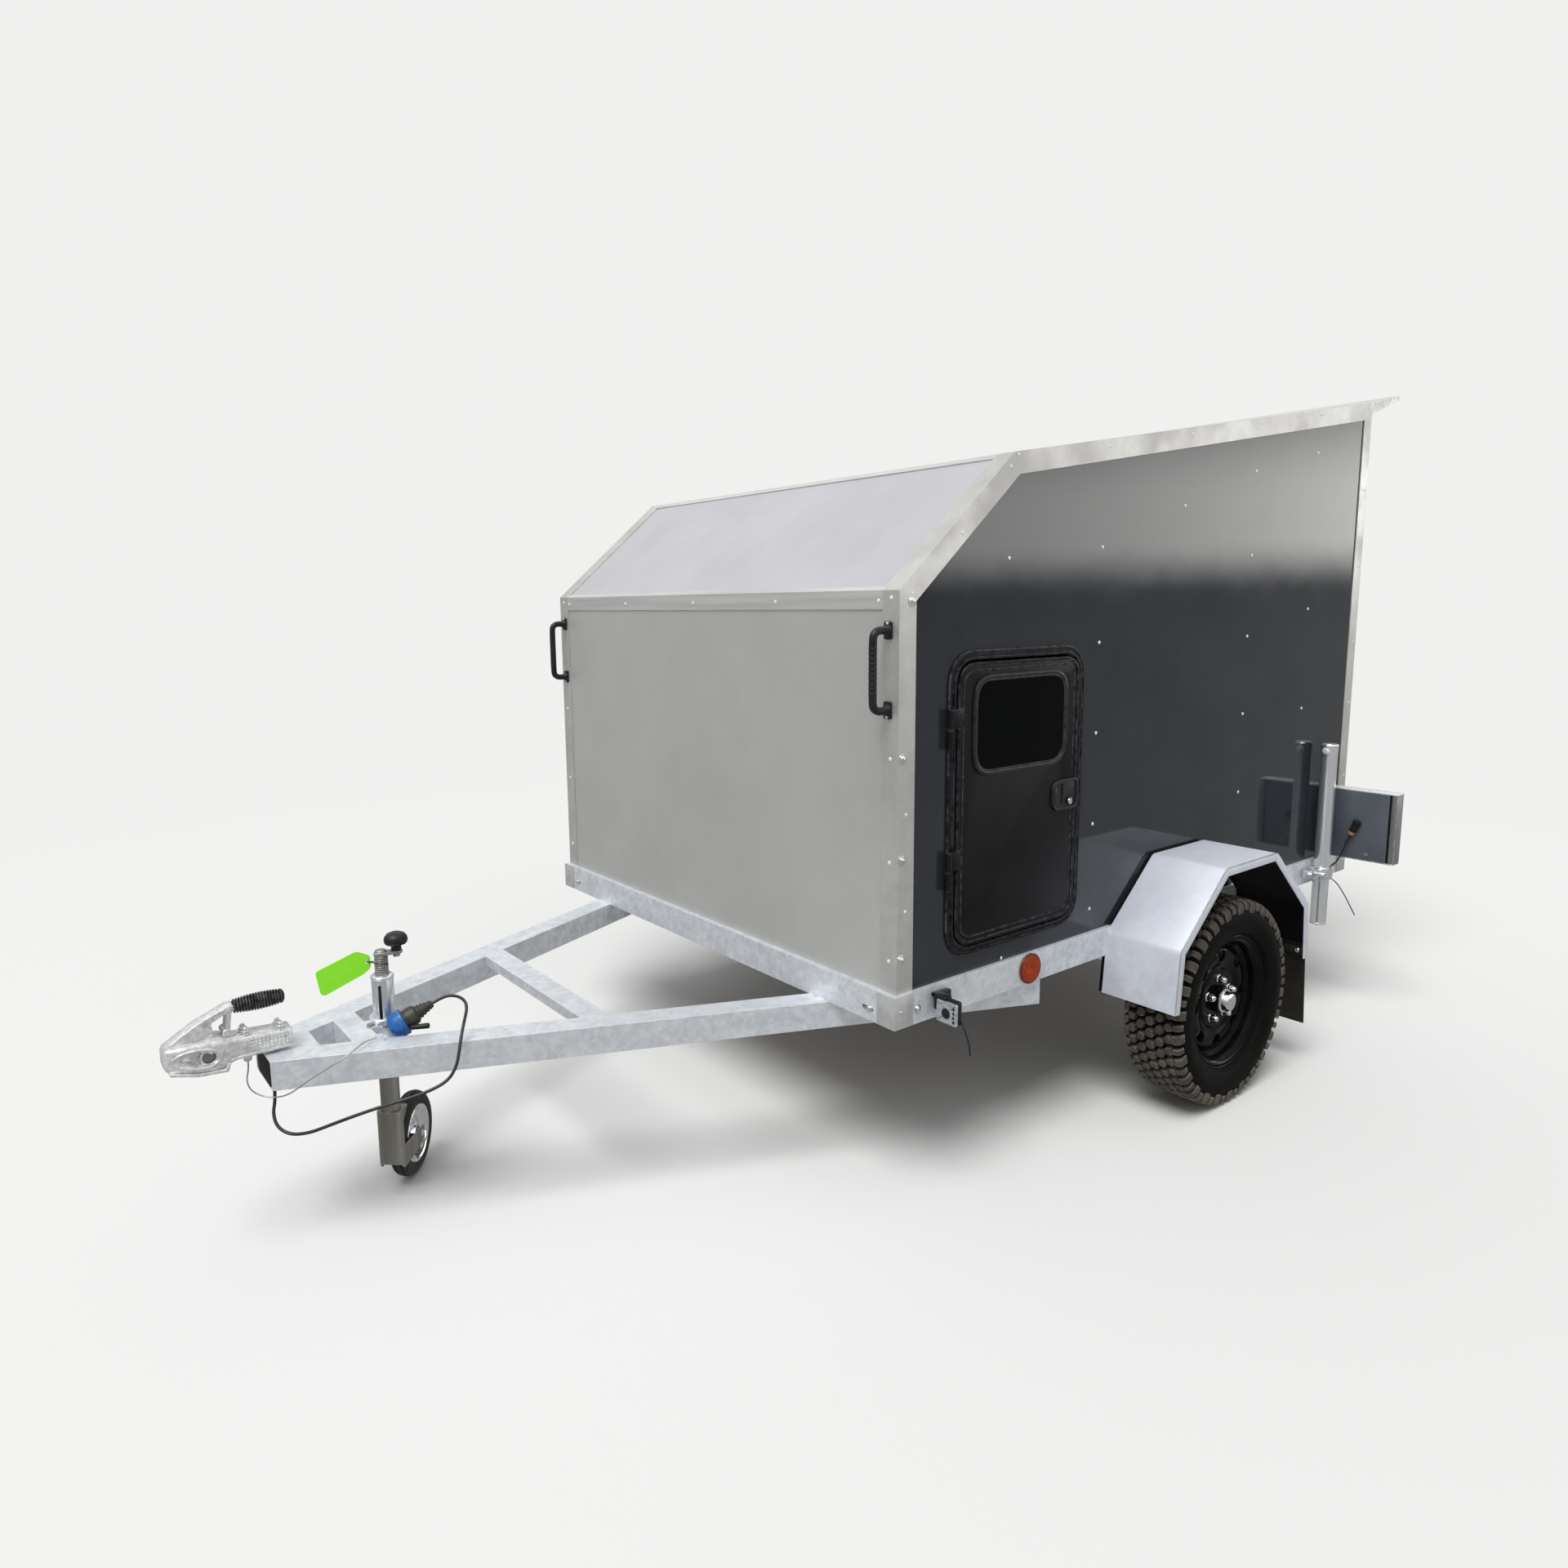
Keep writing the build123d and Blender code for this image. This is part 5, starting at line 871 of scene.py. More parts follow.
def make_rim():
    barrel = wheel_ring("rim_left_barrel", [(63.5, 180.5), (62.6, 182.3), (60.5, 182.3),
            (58.4, 179), (57.2, 170), (53, 166.5), (34, 164.5), (24, 152), (-12, 152),
            (-22, 164.5), (-53, 166.5), (-57.2, 170), (-58.4, 179), (-60.5, 182.3), (-63.4, 182.3),
            (-63.4, 178), (-60, 166), (-54, 161.5), (-26, 160), (-16, 147.5), (14, 147.5),
            (22, 149), (31, 158.5), (44, 160), (47, 158.4), (50, 160.2), (54.5, 162.5),
            (59.5, 168), (61.5, 177), (63.5, 180.5)])
    disc = wheel_ring("rim_left_disc", [(18, 149), (22, 146.5), (30, 138), (33.5, 126), (34, 112),
            (31, 100), (26, 90), (25, 84), (29.4, 79), (30, 72), (30, 37), (26, 35), (24, 37),
            (24, 70), (21, 80), (19.5, 90), (24, 102), (27, 112), (27, 124), (24, 134), (17, 142),
            (13, 145), (12, 149), (18, 149)])
    window = eased([(-13, 104), (13, 104), (24, 133), (-24, 133)], 11, 4, closed=True)
    cutter = slab("window", [(WHEEL[0] + x, WHEEL[1] + 8, WHEEL[2] + z) for x, z in window],
            (0, 40, 0))
    cutter = around_axle(cutter, 8)
    apply(disc, "BOOLEAN", object=cutter, operation="DIFFERENCE", solver="EXACT")
    bpy.data.objects.remove(cutter)
    bevel(disc, 1.2, 2, 40)
    return joined([barrel, disc])


def make_nuts():
    """Five domed wheel nuts on their studs."""
    nut = joined([hex_head("nut", 10.8, 13), turned("cap",
            [(12.5, 9.4), (17, 9), (20.5, 6.4), (22.5, 0.001)], steps=16),
            turned("seat", [(-0.5, 12.6), (1.2, 12.6), (3.2, 10)], steps=16)])
    nut = facing(nut, (0, 1, 0))
    moved(nut, (WHEEL[0], WHEEL[1] + 30, WHEEL[2] + 56))
    nuts = around_axle(nut, 5)
    nuts.name = "wheel_nuts_left"
    return nuts


def make_hub():
    drum = wheel_ring("hub_left_drum", [(-50, 30), (-50, 54), (-44, 58), (10, 58), (14, 76),
            (23.6, 76), (24, 36), (30, 35), (46, 34), (48, 30), (48, 20.5), (-50, 20.5),
            (-50, 30)], 64)
    cap = wheel_ring("hub_left_cap", [(47, 30), (48, 32.5), (50.5, 32.5), (52, 27), (54, 25.8),
            (66, 25.2), (70, 22.5), (72.4, 17), (73.4, 9), (73.5, 0.001)], 48)
    valve = turned("valve", [(0, 0.001), (0, 4), (10, 3.4), (11, 4.3), (19, 4.3), (21, 3),
            (21, 0.001)], (WHEEL[0] + 120, WHEEL[1] + 26, WHEEL[2] + 92), (-0.2, 1, -0.16), 12)
    valve.name = "tyre_valve_left"
    return drum, cap, valve


def add_wheels():
    carcass, tread = make_tyre()
    rim = make_rim()
    drum, cap, valve = make_hub()
    nuts = make_nuts()
    for piece, finish_used, slot, node in ((carcass, tyre_side, "tyre", "tyre"),
            (tread, tyre_rubber, "tyre", None), (rim, rim_paint, "black_rim", "rim"),
            (drum, rim_paint, "zinc_plate", "hub"), (cap, chrome, "zinc_plate", None),
            (nuts, chrome, "zinc_plate", None), (valve, black_rubber, "tyre", None)):
        other = twin(piece, piece.name.replace("left", "right"))
        for made, side in ((piece, "left"), (other, "right")):
            fit(made, f"wheel_{side}", finish_used)
            if node:
                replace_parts(made, f"{node}_{side}")


add_wheels()


# ---- Chassis corners, rivets and bolts -----------------------------------------------------
def side_slab(name, outline, low_y, high_y, round_off=0.0, segments=2):
    """A plate cut to an (x, z) outline, between two distances from the centre line."""
    return slab(name, [(x, low_y, z) for x, z in outline], (0, high_y - low_y, 0), round_off,
            segments)


def front_slab(name, outline, low_x, high_x, round_off=0.0, segments=2):
    """A plate cut to a (y, z) outline, between two places along X."""
    return slab(name, [(low_x, y, z) for y, z in outline], (high_x - low_x, 0, 0), round_off,
            segments)


def flat_slab(name, outline, low_z, high_z, round_off=0.0, segments=2):
    """A plate cut to an (x, y) outline, between two heights."""
    return slab(name, [(x, y, low_z) for x, y in outline], (0, 0, high_z - low_z), round_off,
            segments)


def add_corner_caps():
    """Folded plates that close the corners of the chassis."""
    front = [(523, 716), (526, 716), (526, 773), (468, 773), (468, 770), (523, 770)]
    rear = [(-1635, 716), (-1638, 716), (-1638, 773), (-1580, 773), (-1580, 770), (-1635, 770)]
    caps = joined([flat_slab("corner_caps", front, 430, 504.5, 1.0),
            flat_slab("rear cap", rear, 430, 504.5, 1.0)])
    fit(both_sides(caps), "trailer", alu_dull)


def add_fasteners():
    side_places = [(-193, 1484), (-193, 1251), (-193, 1024), (-193, 790), (-193, 566),
            (-917, 1712), (-917, 1477), (-917, 1246), (-917, 1019), (-917, 785), (161, 1452),
            (-555, 1600), (-1280, 1790), (-1280, 1320), (-1280, 1010)]
    on_panel = spread(facing(dome("side_rivets", 4.6, 2.6), (0, 1, 0)),
            [(x, WALL_SIDE, z) for x, z in side_places])
    on_trim = spread(facing(dome("trim rivets", 4.2, 2.4), (0, 1, 0)),
            [(x, TRIM_SIDE, z) for x, z in ((-205, 1724), (-567, 1784), (-924, 1844),
            (-1280, 1902), (-1606, 1955), (-1606, 1698), (-1606, 1454), (-1606, 1210),
            (-1606, 1007), (-1606, 760), (474, 1375), (322, 1502), (166, 1652), (140, 1680),
            (159, 513), (486, 905), (486, 690))])
    rivets = joined([on_panel, on_trim])
    fit(both_sides(rivets), "trailer", bright_rivet)

    bolt = joined([dome("post_bolts", 8.0, 6.5, 20),
            turned("washer", [(-0.3, 0.001), (-0.3, 11.5), (1.2, 11.5), (1.8, 10.6), (1.8, 0.001)],
            steps=20)])
    bolts = spread(facing(bolt, (0, 1, 0)), [(498, TRIM_SIDE, z) for z in (1027, 806, 583)] +
            [(474, TRIM_SIDE, 1358)])
    fit(both_sides(bolts), "trailer", chrome)

    front = spread(facing(dome("front_rivets", 4.6, 2.6), (1, 0, 0)),
            [(BODY_FRONT, y, 1360) for y in (350, 700)] +
            [(BODY_FRONT, 738, z) for z in (1366, 1026, 799, 577)])
    middle = facing(dome("middle rivet", 4.6, 2.6), (1, 0, 0))
    moved(middle, (BODY_FRONT, 0, 1360))
    fit(joined([both_sides(front), middle]), "trailer", bright_rivet)

    rail_bolt = dome("rail_bolts", 8.5, 6.0, 20, 2.0)
    rail_bolt = spread(facing(rail_bolt, (0, 1, 0)), [(x, RAIL_SIDE, 462) for x in (452, -1562)])
    small = spread(facing(dome("cap rivet", 4.5, 2.8), (0, 1, 0)),
            [(507, 773, 468), (-1618, 773, 468)])
    slot = front_slab("slot", eased(oblong(668, 452, 704, 463), 5.4, 4, True), 522.6, 523.8, 0.3,
            1)
    stud = facing(dome("stud", 7.0, 6.0, 16), (1, 0, 0))
    moved(stud, (523.4, 692, 457.5))
    lock_nuts = joined([rail_bolt, small, slot, stud])
    fit(both_sides(lock_nuts), "trailer", chrome)


# ---- Lamps on the chassis ------------------------------------------------------------------
def add_marker_lamps():
    """Front marker lamps: a pale face with one round lens on a thin black plate and its arm."""
    plate = front_slab("marker_lamp_cases", eased(oblong(784, 429, 841, 484), 5, 4, True), 386,
            400.6, 1.5)
    arm = block("arm", (397, 790, 487), (22, 42, 7), 1.2)
    foot = block("foot", (378, 777, 470), (44, 13, 40), 2.0)
    post = block("post", (403, 776, 486), (10, 10, 10), 1.5)
    gland = turned("gland", [(0, 0.001), (0, 9), (4, 9), (7, 7), (22, 4.6), (26, 3), (26, 0.001)],
            (387, 815, 452), (-1, 0, -0.35), 16)
    tail = tube("tie tail", [(390, 838, 446), (388, 844, 436), (384, 853, 412), (382, 861, 388),
            (382, 863, 364)], 2.0, 8)
    fit(both_sides(joined([plate, arm, foot, post, gland, tail])), "trailer", black_plastic)
    face = front_slab("marker_lamp_faces", eased(oblong(785, 430, 843, 481), 4, 4, True), 400.2,
            407.4, 1.6)
    choose(face, lambda c, n: n.x > 0.95 and c.x > 406)
    bpy.ops.mesh.inset(thickness=3.0 * MM)
    push_out(at(-1.2, 0, 0))
    leave()
    studs = repeat(front_slab("stud", oblong(832, 436, 838, 442), 405, 407.6, 0.6, 1),
            [(0, 0, 10), (0, 0, 20), (0, 0, 30)])
    fit(both_sides(face), "trailer", clear_lens)
    ring = turned("marker_lamp_lenses", [(-1, 0.001), (-1, 12), (1.2, 12), (1.8, 10.4), (0.7, 9),
            (0.7, 6), (1.8, 4.8), (2.0, 0.001)], (406.0, 812, 453), (1, 0, 0), 24)
    fit(both_sides(joined([ring, studs])), "trailer", black_plastic)
    for made in ("marker_lamp_cases", "marker_lamp_faces"):
        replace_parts(bpy.data.objects[made], "marker_lamps")


def add_side_reflectors():
    """Round amber reflectors: a rim, and a lens pressed with rings of small pyramids."""
    x_lens, z_lens, spacing = 61, 467, 5.4
    foot = (x_lens, RAIL_SIDE, z_lens)
    rim = turned("side_reflector_rims", [(0, 0.001), (0, 38), (4.5, 38), (6.2, 36.6), (6.4, 33.6),
            (5.0, 32.6), (5.0, 0.001)], foot, (0, 1, 0), 48)
    pyramid = slab("side_reflector_lenses", [(x_lens + 3.1 * cos(radians(60 * k)), 774.8,
            z_lens + 3.1 * sin(radians(60 * k))) for k in range(6)], (0, 2.6, 0))
    choose(pyramid, lambda c, n: n.y > 0.9)
    bpy.ops.transform.resize(value=(0.45, 1, 0.45))
    leave()
    places = []
    for row in range(-6, 7):
        for column in range(-6, 7):
            x, z = (column + (row % 2) / 2) * spacing, row * 4.68
            if (x or z) and x * x + z * z < 30.5 ** 2:
                places.append((x, 0, z))
    lens = repeat(pyramid, places)
    plate = turned("lens plate", [(4.6, 0.001), (4.6, 33.4), (5.6, 33.2), (5.8, 0.001)], foot,
            (0, 1, 0), 48)
    lens = joined([lens, plate])
    fit(both_sides(rim), "trailer", amber_rim)
    fit(both_sides(lens), "trailer", amber, 20)
    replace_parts(bpy.data.objects["side_reflector_rims"], "side_reflectors")
    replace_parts(bpy.data.objects["side_reflector_lenses"], "side_reflectors")


add_corner_caps()
add_fasteners()
add_marker_lamps()
add_side_reflectors()


# ---- Coupling ----------------------------------------------------------------------------
def drawn_out(name, sections, corner=0.42):
    """A pressing along X: rounded (x, half width, low z, high z) sections, one after another."""
    x, half, low, high = sections[0]
    rounding = corner * min(2 * half, high - low)
    outline = [(x, y, z + (low + high) / 2)
            for y, z in rounded_box(2 * half, high - low, rounding, 4)]
    piece = line(name, outline)
    edit(piece, "VERT")
    choose_all()
    bpy.ops.mesh.edge_face_add()
    for here, there in zip(sections, sections[1:]):
        push_out(at(there[0] - here[0], 0, 0))
        middle = (here[2] + here[3]) / 2
        bpy.ops.transform.resize(value=(1, there[1] / here[1],
                (there[3] - there[2]) / (here[3] - here[2])),
                center_override=at(there[0], 0, middle))
        bpy.ops.transform.translate(value=at(0, 0, (there[2] + there[3]) / 2 - middle))
    face_outward()
    leave()
    return piece


def ball(name, middle, radii):
    pick(None)
    bpy.ops.mesh.primitive_uv_sphere_add(segments=32, ring_count=20, radius=1.0,
            location=(0, 0, 0))
    piece = bpy.context.object
    piece.name = name
    edit(piece)
    choose_all()
    bpy.ops.transform.resize(value=at(*radii), center_override=(0, 0, 0))
    bpy.ops.transform.translate(value=at(*middle))
    leave()
    return piece


def cut(piece, cutter):
    apply(piece, "BOOLEAN", object=cutter, operation="DIFFERENCE", solver="EXACT")
    bpy.data.objects.remove(cutter)
    return piece


def add_coupling():
    head = drawn_out("coupling_head_pressing",
            [(1579, 27, 440, 473), (1581, 28, 439.5, 474), (1640, 28, 438.5, 478),
            (1684, 29, 437.5, 481), (1702, 31, 436, 484), (1714, 35.5, 425, 487),
            (1738, 38.5, 425, 489), (1766, 39.5, 429, 490), (1790, 37.5, 435, 490),
            (1808, 34, 439, 489), (1817, 29, 442, 486), (1821, 24, 448, 479)], 0.22)
    for side in (1, -1):
        cut(head, turn(ball("scoop", (1763, side * 44, 459), (40, 20, 16)), -16, (0, 1, 0),
                (1763, 0, 459)))
        cut(head, turned("hollow", [(-10, 0.001), (-10, 17), (14, 13), (14, 0.001)],
                (1741, side * 24, 456), (0, side, 0), 24))
    cut(head, ball("cup", (1768, 0, 424), (26, 26, 27)))
    bevel(head, 1.0, 2, 35)
    beads = []
    for side in (1, -1):
        rim = [(1808, side * 32, 466), (1794, side * 36.5, 477), (1762, side * 39.5, 480),
               (1730, side * 38, 472), (1716, side * 36, 456), (1728, side * 37.5, 440),
               (1760, side * 39.5, 437), (1792, side * 36.5, 448)]
        beads.append(tube("bead", rim, 2.6, 8, cyclic=True))
        beads.append(turned("hollow ring", [(0, 13), (0, 17), (2.5, 18), (4, 16.5), (3, 13),
                (0, 13)], (1741, side * 29.5, 456), (0, side, 0), 24))
    lower_edge = side_slab("skirt", [(1708, 418), (1762, 422), (1814, 437), (1814, 442),
            (1762, 429), (1714, 425), (1708, 436), (1703, 436)], -40, 40, 1.4)
    foot_edge = side_slab("foot edge", [(1581, 437), (1690, 435), (1706, 430), (1706, 437),
            (1690, 441), (1581, 443)], -31, 31, 1.2)
    cable_eye = side_slab("cable eye", eased(oblong(1661, 424, 1677, 440), 6, 4, True), 22, 26,
            0.8)
    dots = [(1590 + 7.6 * k, 28, 449 + 7 * row + 0.03 * k) for row in range(4) for k in range(15)]
    stipple = both_sides(spread(facing(dome("stipple", 2.3, 1.5, 6), (0, 1, 0)), dots))
    head = joined([head, *beads, lower_edge, foot_edge, cable_eye, stipple])
    fit(head, "trailer", cast_zinc, 40)
    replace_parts(head, "coupling_head")
    # Painted shade: discs of dark dull steel set inside the side hollows, standing in for the
    # shade there.
    hollow_shade = turned("coupling_head_hollow_shade", [(0, 0.001), (0, 13), (1.5, 13), (1.5, 0.001)],
            (1741, 25.4, 456), (0, 1, 0), 24)
    fit(both_sides(hollow_shade), "trailer", leg_steel)
    # Painted shade: a black plate across the open front end of the drawbar, standing in for the
    # shade inside it.
    end = front_slab("drawbar_end_opening", eased(oblong(-47, 369, 60, 425), 5, 3, True), 1635.4,
            1636.8)
    fit(end, "trailer", lining_and_shade)

    cheek = [(1811, 472), (1815, 486), (1788, 503), (1756, 522), (1728, 534), (1700, 545),
            (1688, 546), (1684, 539), (1691, 534), (1697, 486), (1706, 478), (1730, 486)]
    window = [(1706, 486), (1700, 531), (1704, 533), (1730, 520), (1727, 486)]
    cheeks = []
    for low, high in ((14, 17.5), (-17.5, -14)):
        plate = side_slab("coupling_lever_pressing", eased(cheek, 4, 3, True), low, high)
        hole = side_slab("lever window", eased(window, 2.5, 3, True), low - 2, high + 2)
        cheeks.append(bevel(cut(plate, hole), 0.8, 1, 40))
    web = side_slab("lever web", [(1815, 484), (1816, 488.5), (1788, 506.5), (1756, 525),
            (1722, 538.5), (1700, 548), (1688, 549), (1684, 545), (1698, 543.5), (1721, 534.5),
            (1755, 520.5), (1786, 502)], -17.5, 17.5, 1.2)
    pivot = turned("pivot", [(-22, 0.001), (-22, 6), (-20.5, 7.5), (-18, 7.5), (-17.6, 5),
            (17.6, 5), (18, 7.5), (20.5, 7.5), (22, 6), (22, 0.001)], (1704, 0, 494), (0, 1, 0),
            20)
    stem = turned("stem", [(0, 0.001), (0, 6), (14, 6), (16, 8.6), (19, 8.6), (19, 0.001)],
            (1700, 0, 544.5), (-1, 0, -0.06), 20)
    lever = joined([*cheeks, web, pivot, stem])
    fit(lever, "trailer", cast_zinc, 40)
    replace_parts(lever, "coupling_lever")

    ribs = [(0, 0.001), (0, 8.0), (1.5, 9.6)]
    for k in range(16):
        swell = 14.2 + 4.2 * sin(radians(8 + 9.6 * k))
        ribs += [(2.8 + 5.6 * k, swell - 3.6), (4.4 + 5.6 * k, swell), (6.4 + 5.6 * k, swell),
                (7.8 + 5.6 * k, swell - 3.6)]
    ribs += [(95.5, 15.8), (99, 14.4), (102, 10.4), (103.6, 5), (104, 0.001)]
    grip = turned("coupling_grip", ribs, (1688, 0, 541), (-1, 0, 0.0), 28)
    fit(grip, "trailer", ribbed_plastic)
    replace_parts(grip, "coupling_lever")

    nut = hex_head("coupling_bolts", 9.5, 7.5)
    stud = turned("stud", [(7, 5), (13, 5), (14, 4), (14, 0.001), (7, 0.001)], steps=14)
    washer = turned("washer", [(-0.4, 0.001), (-0.4, 12.5), (1.6, 12.5), (1.6, 0.001)], steps=20)
    bolts = joined([nut, stud, washer])
    bolts = spread(bolts, [(1600, -13, 474.5), (1600, 13, 474.5), (1668, -13, 480),
            (1668, 13, 480)])
    fit(bolts, "trailer", zinc)


add_coupling()


# ---- Jockey wheel, plug and tag ------------------------------------------------------------
STEM = (1377, 0)
KNOB = (1345, 10.5)


def upright(name, profile, x, y, steps=32):
    """Turned about a vertical line: (height, radius)."""
    return turned(name, profile, (x, y, 0), (0, 0, 1), steps)


def add_jockey():
    tube_made = upright("jockey_tube", [(370, 22), (370, 24), (533, 24), (535, 23.2), (535, 22),
            (370, 22)], *STEM, 48)
    slot = side_slab("slot", eased(oblong(-3.4, 436, 3.4, 520), 3.3, 4, True), 12, 40)
    moved(slot, (*STEM, 0))
    cut(tube_made, turn(slot, -35, (0, 0, 1), (*STEM, 0)))
    band = upright("band", [(429.2, 24.2), (429.2, 33), (431, 34.5), (441, 34.5), (443, 33),
            (443, 24.2)], *STEM, 40)
    top = upright("cap ring", [(531, 23), (531, 24.8), (532.5, 25.4), (536, 25.2), (538, 23.6),
            (540, 15), (540, 0.001), (531, 0.001)], *STEM, 40)
    outer = fit(joined([bevel(tube_made, 0.5, 1, 40), band, top]), "trailer", tube_zinc)
    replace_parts(outer, "jockey_outer_tube")

    worm = [(539, 0.001), (539, 16), (545, 16), (546, 13)]
    for k in range(7):
        worm += [(547 + 5 * k, 12.4), (549 + 5 * k, 15.2), (550.4 + 5 * k, 15.2),
                (551.6 + 5 * k, 12.4)]
    worm += [(584, 11.4), (584, 13), (594, 13), (596, 11), (596, 0.001)]
    neck = upright("jockey_crank_neck", worm, *STEM, 24)
    arm = flat_slab("arm", eased([(1390, -8), (1395, 4), (1386, 12), (1340, 22), (1332, 16),
            (1331, 4), (1340, -1), (1378, -12)], 7, 5, True), 584.5, 591.5, 1.2)
    pin = hex_head("nut", 8.5, 6)
    moved(pin, (*KNOB, 577.5))
    crank = fit(joined([neck, arm, pin]), "trailer", worn_zinc)
    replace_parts(crank, "jockey_crank")
    knob = upright("jockey_crank_knob", [(591.6, 0.001), (591.6, 10.5), (593, 11.5), (601, 11),
            (603, 12.5), (605, 17), (607, 22.5), (611, 25.4), (617, 26.2), (624, 24.4), (630, 19),
            (633.5, 11), (634, 0.001)], *KNOB, 32)
    fit(knob, "trailer", black_plastic)
    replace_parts(knob, "jockey_crank")

    clamp = hex_head("jockey_clamp_fittings", 7.5, 6)
    ring = [(STEM[0] + 41 * cos(radians(a)), STEM[1] + 41 * sin(radians(a)), 429.3)
            for a in (20, 75, 130, 185, 285)]
    clamp = spread(clamp, ring)
    lug = block("lug", (1362, 38, 436), (18, 22, 12), 2.0)
    lug = turn(lug, 20, (0, 0, 1), (1362, 38, 436))
    screw = turned("screw", [(0, 0.001), (0, 4.5), (44, 4.5), (44, 0.001)], (1374, 34, 437),
            (-0.9, 0.42, 0), 14)
    fit(joined([clamp, lug, screw]), "trailer", worn_zinc)
    bar = turned("jockey_clamp_handle", [(0, 0.001), (0, 4.6), (2, 5.6), (38, 6.2), (41, 5),
            (42, 0.001)], (1352, 96, 437), (-0.86, 0.50, 0.05), 16)
    fit(bar, "trailer", black_plastic)


JOCKEY_HUB = (1309.5, -80.4, 100)
JOCKEY_AXLE = (0.766044, -0.642788, 0)


def add_jockey_wheel():
    def ring(name, profile, steps=64):
        return turned(name, profile, JOCKEY_HUB, JOCKEY_AXLE, steps)

    tyre = ring("jockey_tyre_solid", [(-16, 63), (-17, 68), (-19.4, 74), (-19.8, 84), (-18.6, 90),
            (-15.5, 94), (-11, 96.4), (-9.8, 97), (-9.2, 95), (-6.2, 95), (-5.6, 98.2), (-2, 98.8),
            (2, 98.8), (5.6, 98.2), (6.2, 95), (9.2, 95), (9.8, 97), (11, 96.4), (15.5, 94),
            (18.6, 90), (19.8, 84), (19.4, 74), (17, 68), (16, 63), (-16, 63)])
    fit(tyre, "jockey_wheel", black_rubber)
    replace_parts(tyre, "jockey_tyre")
    rim = ring("jockey_rim_dish", [(19.4, 66.5), (17.4, 68), (14, 66), (12, 60), (5, 54), (2, 46),
            (2.6, 38), (6, 30), (6.4, 24), (19, 22), (19.6, 20), (19.6, 6.5), (-19.6, 6.5),
            (-19.6, 20), (-19, 22), (-6.4, 24), (-6, 30), (-2.6, 38), (-2, 46), (-5, 54),
            (-12, 60), (-14, 66), (-17.4, 68), (-19.4, 66.5), (-18, 63.5), (-14.6, 58), (-8, 52.6),
            (-4.6, 46), (-5, 40), (-3.5, 39), (3.5, 39), (5, 40), (4.6, 46), (8, 52.6), (14.6, 58),
            (18, 63.5), (19.4, 66.5)])
    fit(rim, "jockey_wheel", chrome)
    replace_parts(rim, "jockey_rim")
    nuts = joined([ring("jockey_axle_nuts", [(20.4, 0.001), (20.4, 11), (22, 11), (22, 8.5),
            (28.5, 8.5), (30, 7), (30, 0.001)], 6),
            ring("far nut", [(-30, 0.001), (-30, 7), (-28.5, 8.5), (-22, 8.5), (-22, 11),
            (-20.4, 11), (-20.4, 0.001)], 6)])
    fit(nuts, "jockey_fork", zinc)


def add_plug():
    place, axis = (1373, 69, 438), (-77, 16, 38)
    cap = turned("plug_cap_cover", [(-16, 0.001), (-16, 12), (-14.6, 19), (-11, 25), (-5, 29),
            (4, 30.6), (9, 31), (10, 30), (12, 30), (13, 31), (18, 30.6), (20, 28.6), (20, 21.5),
            (19, 21), (19, 0.001)], place, axis, 48)
    lid_hinge = block("lid", (1352, 44, 452), (16, 10, 12), 3.0)
    fit(joined([cap, lid_hinge]), "trailer", blue_plastic)
    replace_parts(cap, "plug_cap")
    boot = [(17, 0.001), (17, 22.4), (22, 22.8), (23, 21.4), (26, 21.4), (27, 22.6), (38, 22.4),
            (46, 21.4), (48, 19)]
    for k in range(4):
        boot += [(50 + 8 * k, 17 - 1.8 * k), (51 + 8 * k, 15 - 1.8 * k),
                (54 + 8 * k, 14.6 - 1.8 * k), (55 + 8 * k, 16.2 - 1.8 * k)]
    boot += [(84, 8.6), (87, 7.6), (87.4, 3.7), (80, 3.7), (80, 0.001)]
    boot = turned("plug_boot", boot, place, axis, 32)
    fit(boot, "trailer", brown_rubber)
    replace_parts(boot, "tow_plug")


def add_tag():
    outline = eased([(1519, 576), (1430, 604), (1401, 588), (1400, 560), (1414, 549), (1503, 518),
            (1511, 524)], 7, 4, True)
    tag = side_slab("hang_tag_card", outline, -0.9, 0.9)
    hole = turned("hole", [(-3, 0.001), (-3, 3.2), (3, 3.2), (3, 0.001)], (1409, 0, 574),
            (0, 1, 0), 16)
    cut(tag, hole)
    choose(tag, lambda c, n: abs(n.y) > 0.9)
    bpy.ops.mesh.inset(thickness=3.0 * MM)
    leave()
    bevel(tag, 0.35, 1, 60)
    fit(tag, "trailer", green_tag)
    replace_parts(tag, "hang_tag")
    loop = [(STEM[0] + 15.2 * cos(radians(a)), 15.2 * sin(radians(a)),
            566 + 3 * cos(radians(a))) for a in range(40, 321, 40)]
    tie = tube("hang_tag_tie", [(1410, 0, 575), (1402, 3, 573), *loop, (1402, -3, 573),
            (1410, 0, 575)], 1.2, 8)
    fit(tie, "trailer", black_plastic)


add_jockey()
add_jockey_wheel()
add_plug()
add_tag()


# ---- Doors and grab handles ------------------------------------------------------------------
HINGE = (361, 772)                  # the hinge pin's place, seen from above
HINGE_MIDDLES = (1078.5, 758.5)     # heights of the two hinges
HINGE_HALF = 45
JOINT_GAP = 0.2                     # from a hinge's middle to each knuckle


def rounded(box, inset, corner):
    """A rounded outline, this far inside an (x low, x high, z low, z high) box."""
    x_low, x_high, z_low, z_high = box
    x_low, x_high, z_low, z_high = x_low + inset, x_high - inset, z_low + inset, z_high - inset
    return eased(oblong(x_low, z_low, x_high, z_high), corner - inset, 10, True)


def ring_slab(name, box, corner, outer, inner, low_y, high_y, round_off=1.2):
    """A flat ring between two insets of a rounded outline."""
    plate = side_slab(name, rounded(box, outer, corner), low_y, high_y)
    hole = side_slab("opening", rounded(box, inner, corner), low_y - 5, high_y + 5)
    return bevel(cut(plate, hole), round_off, 2, 40)


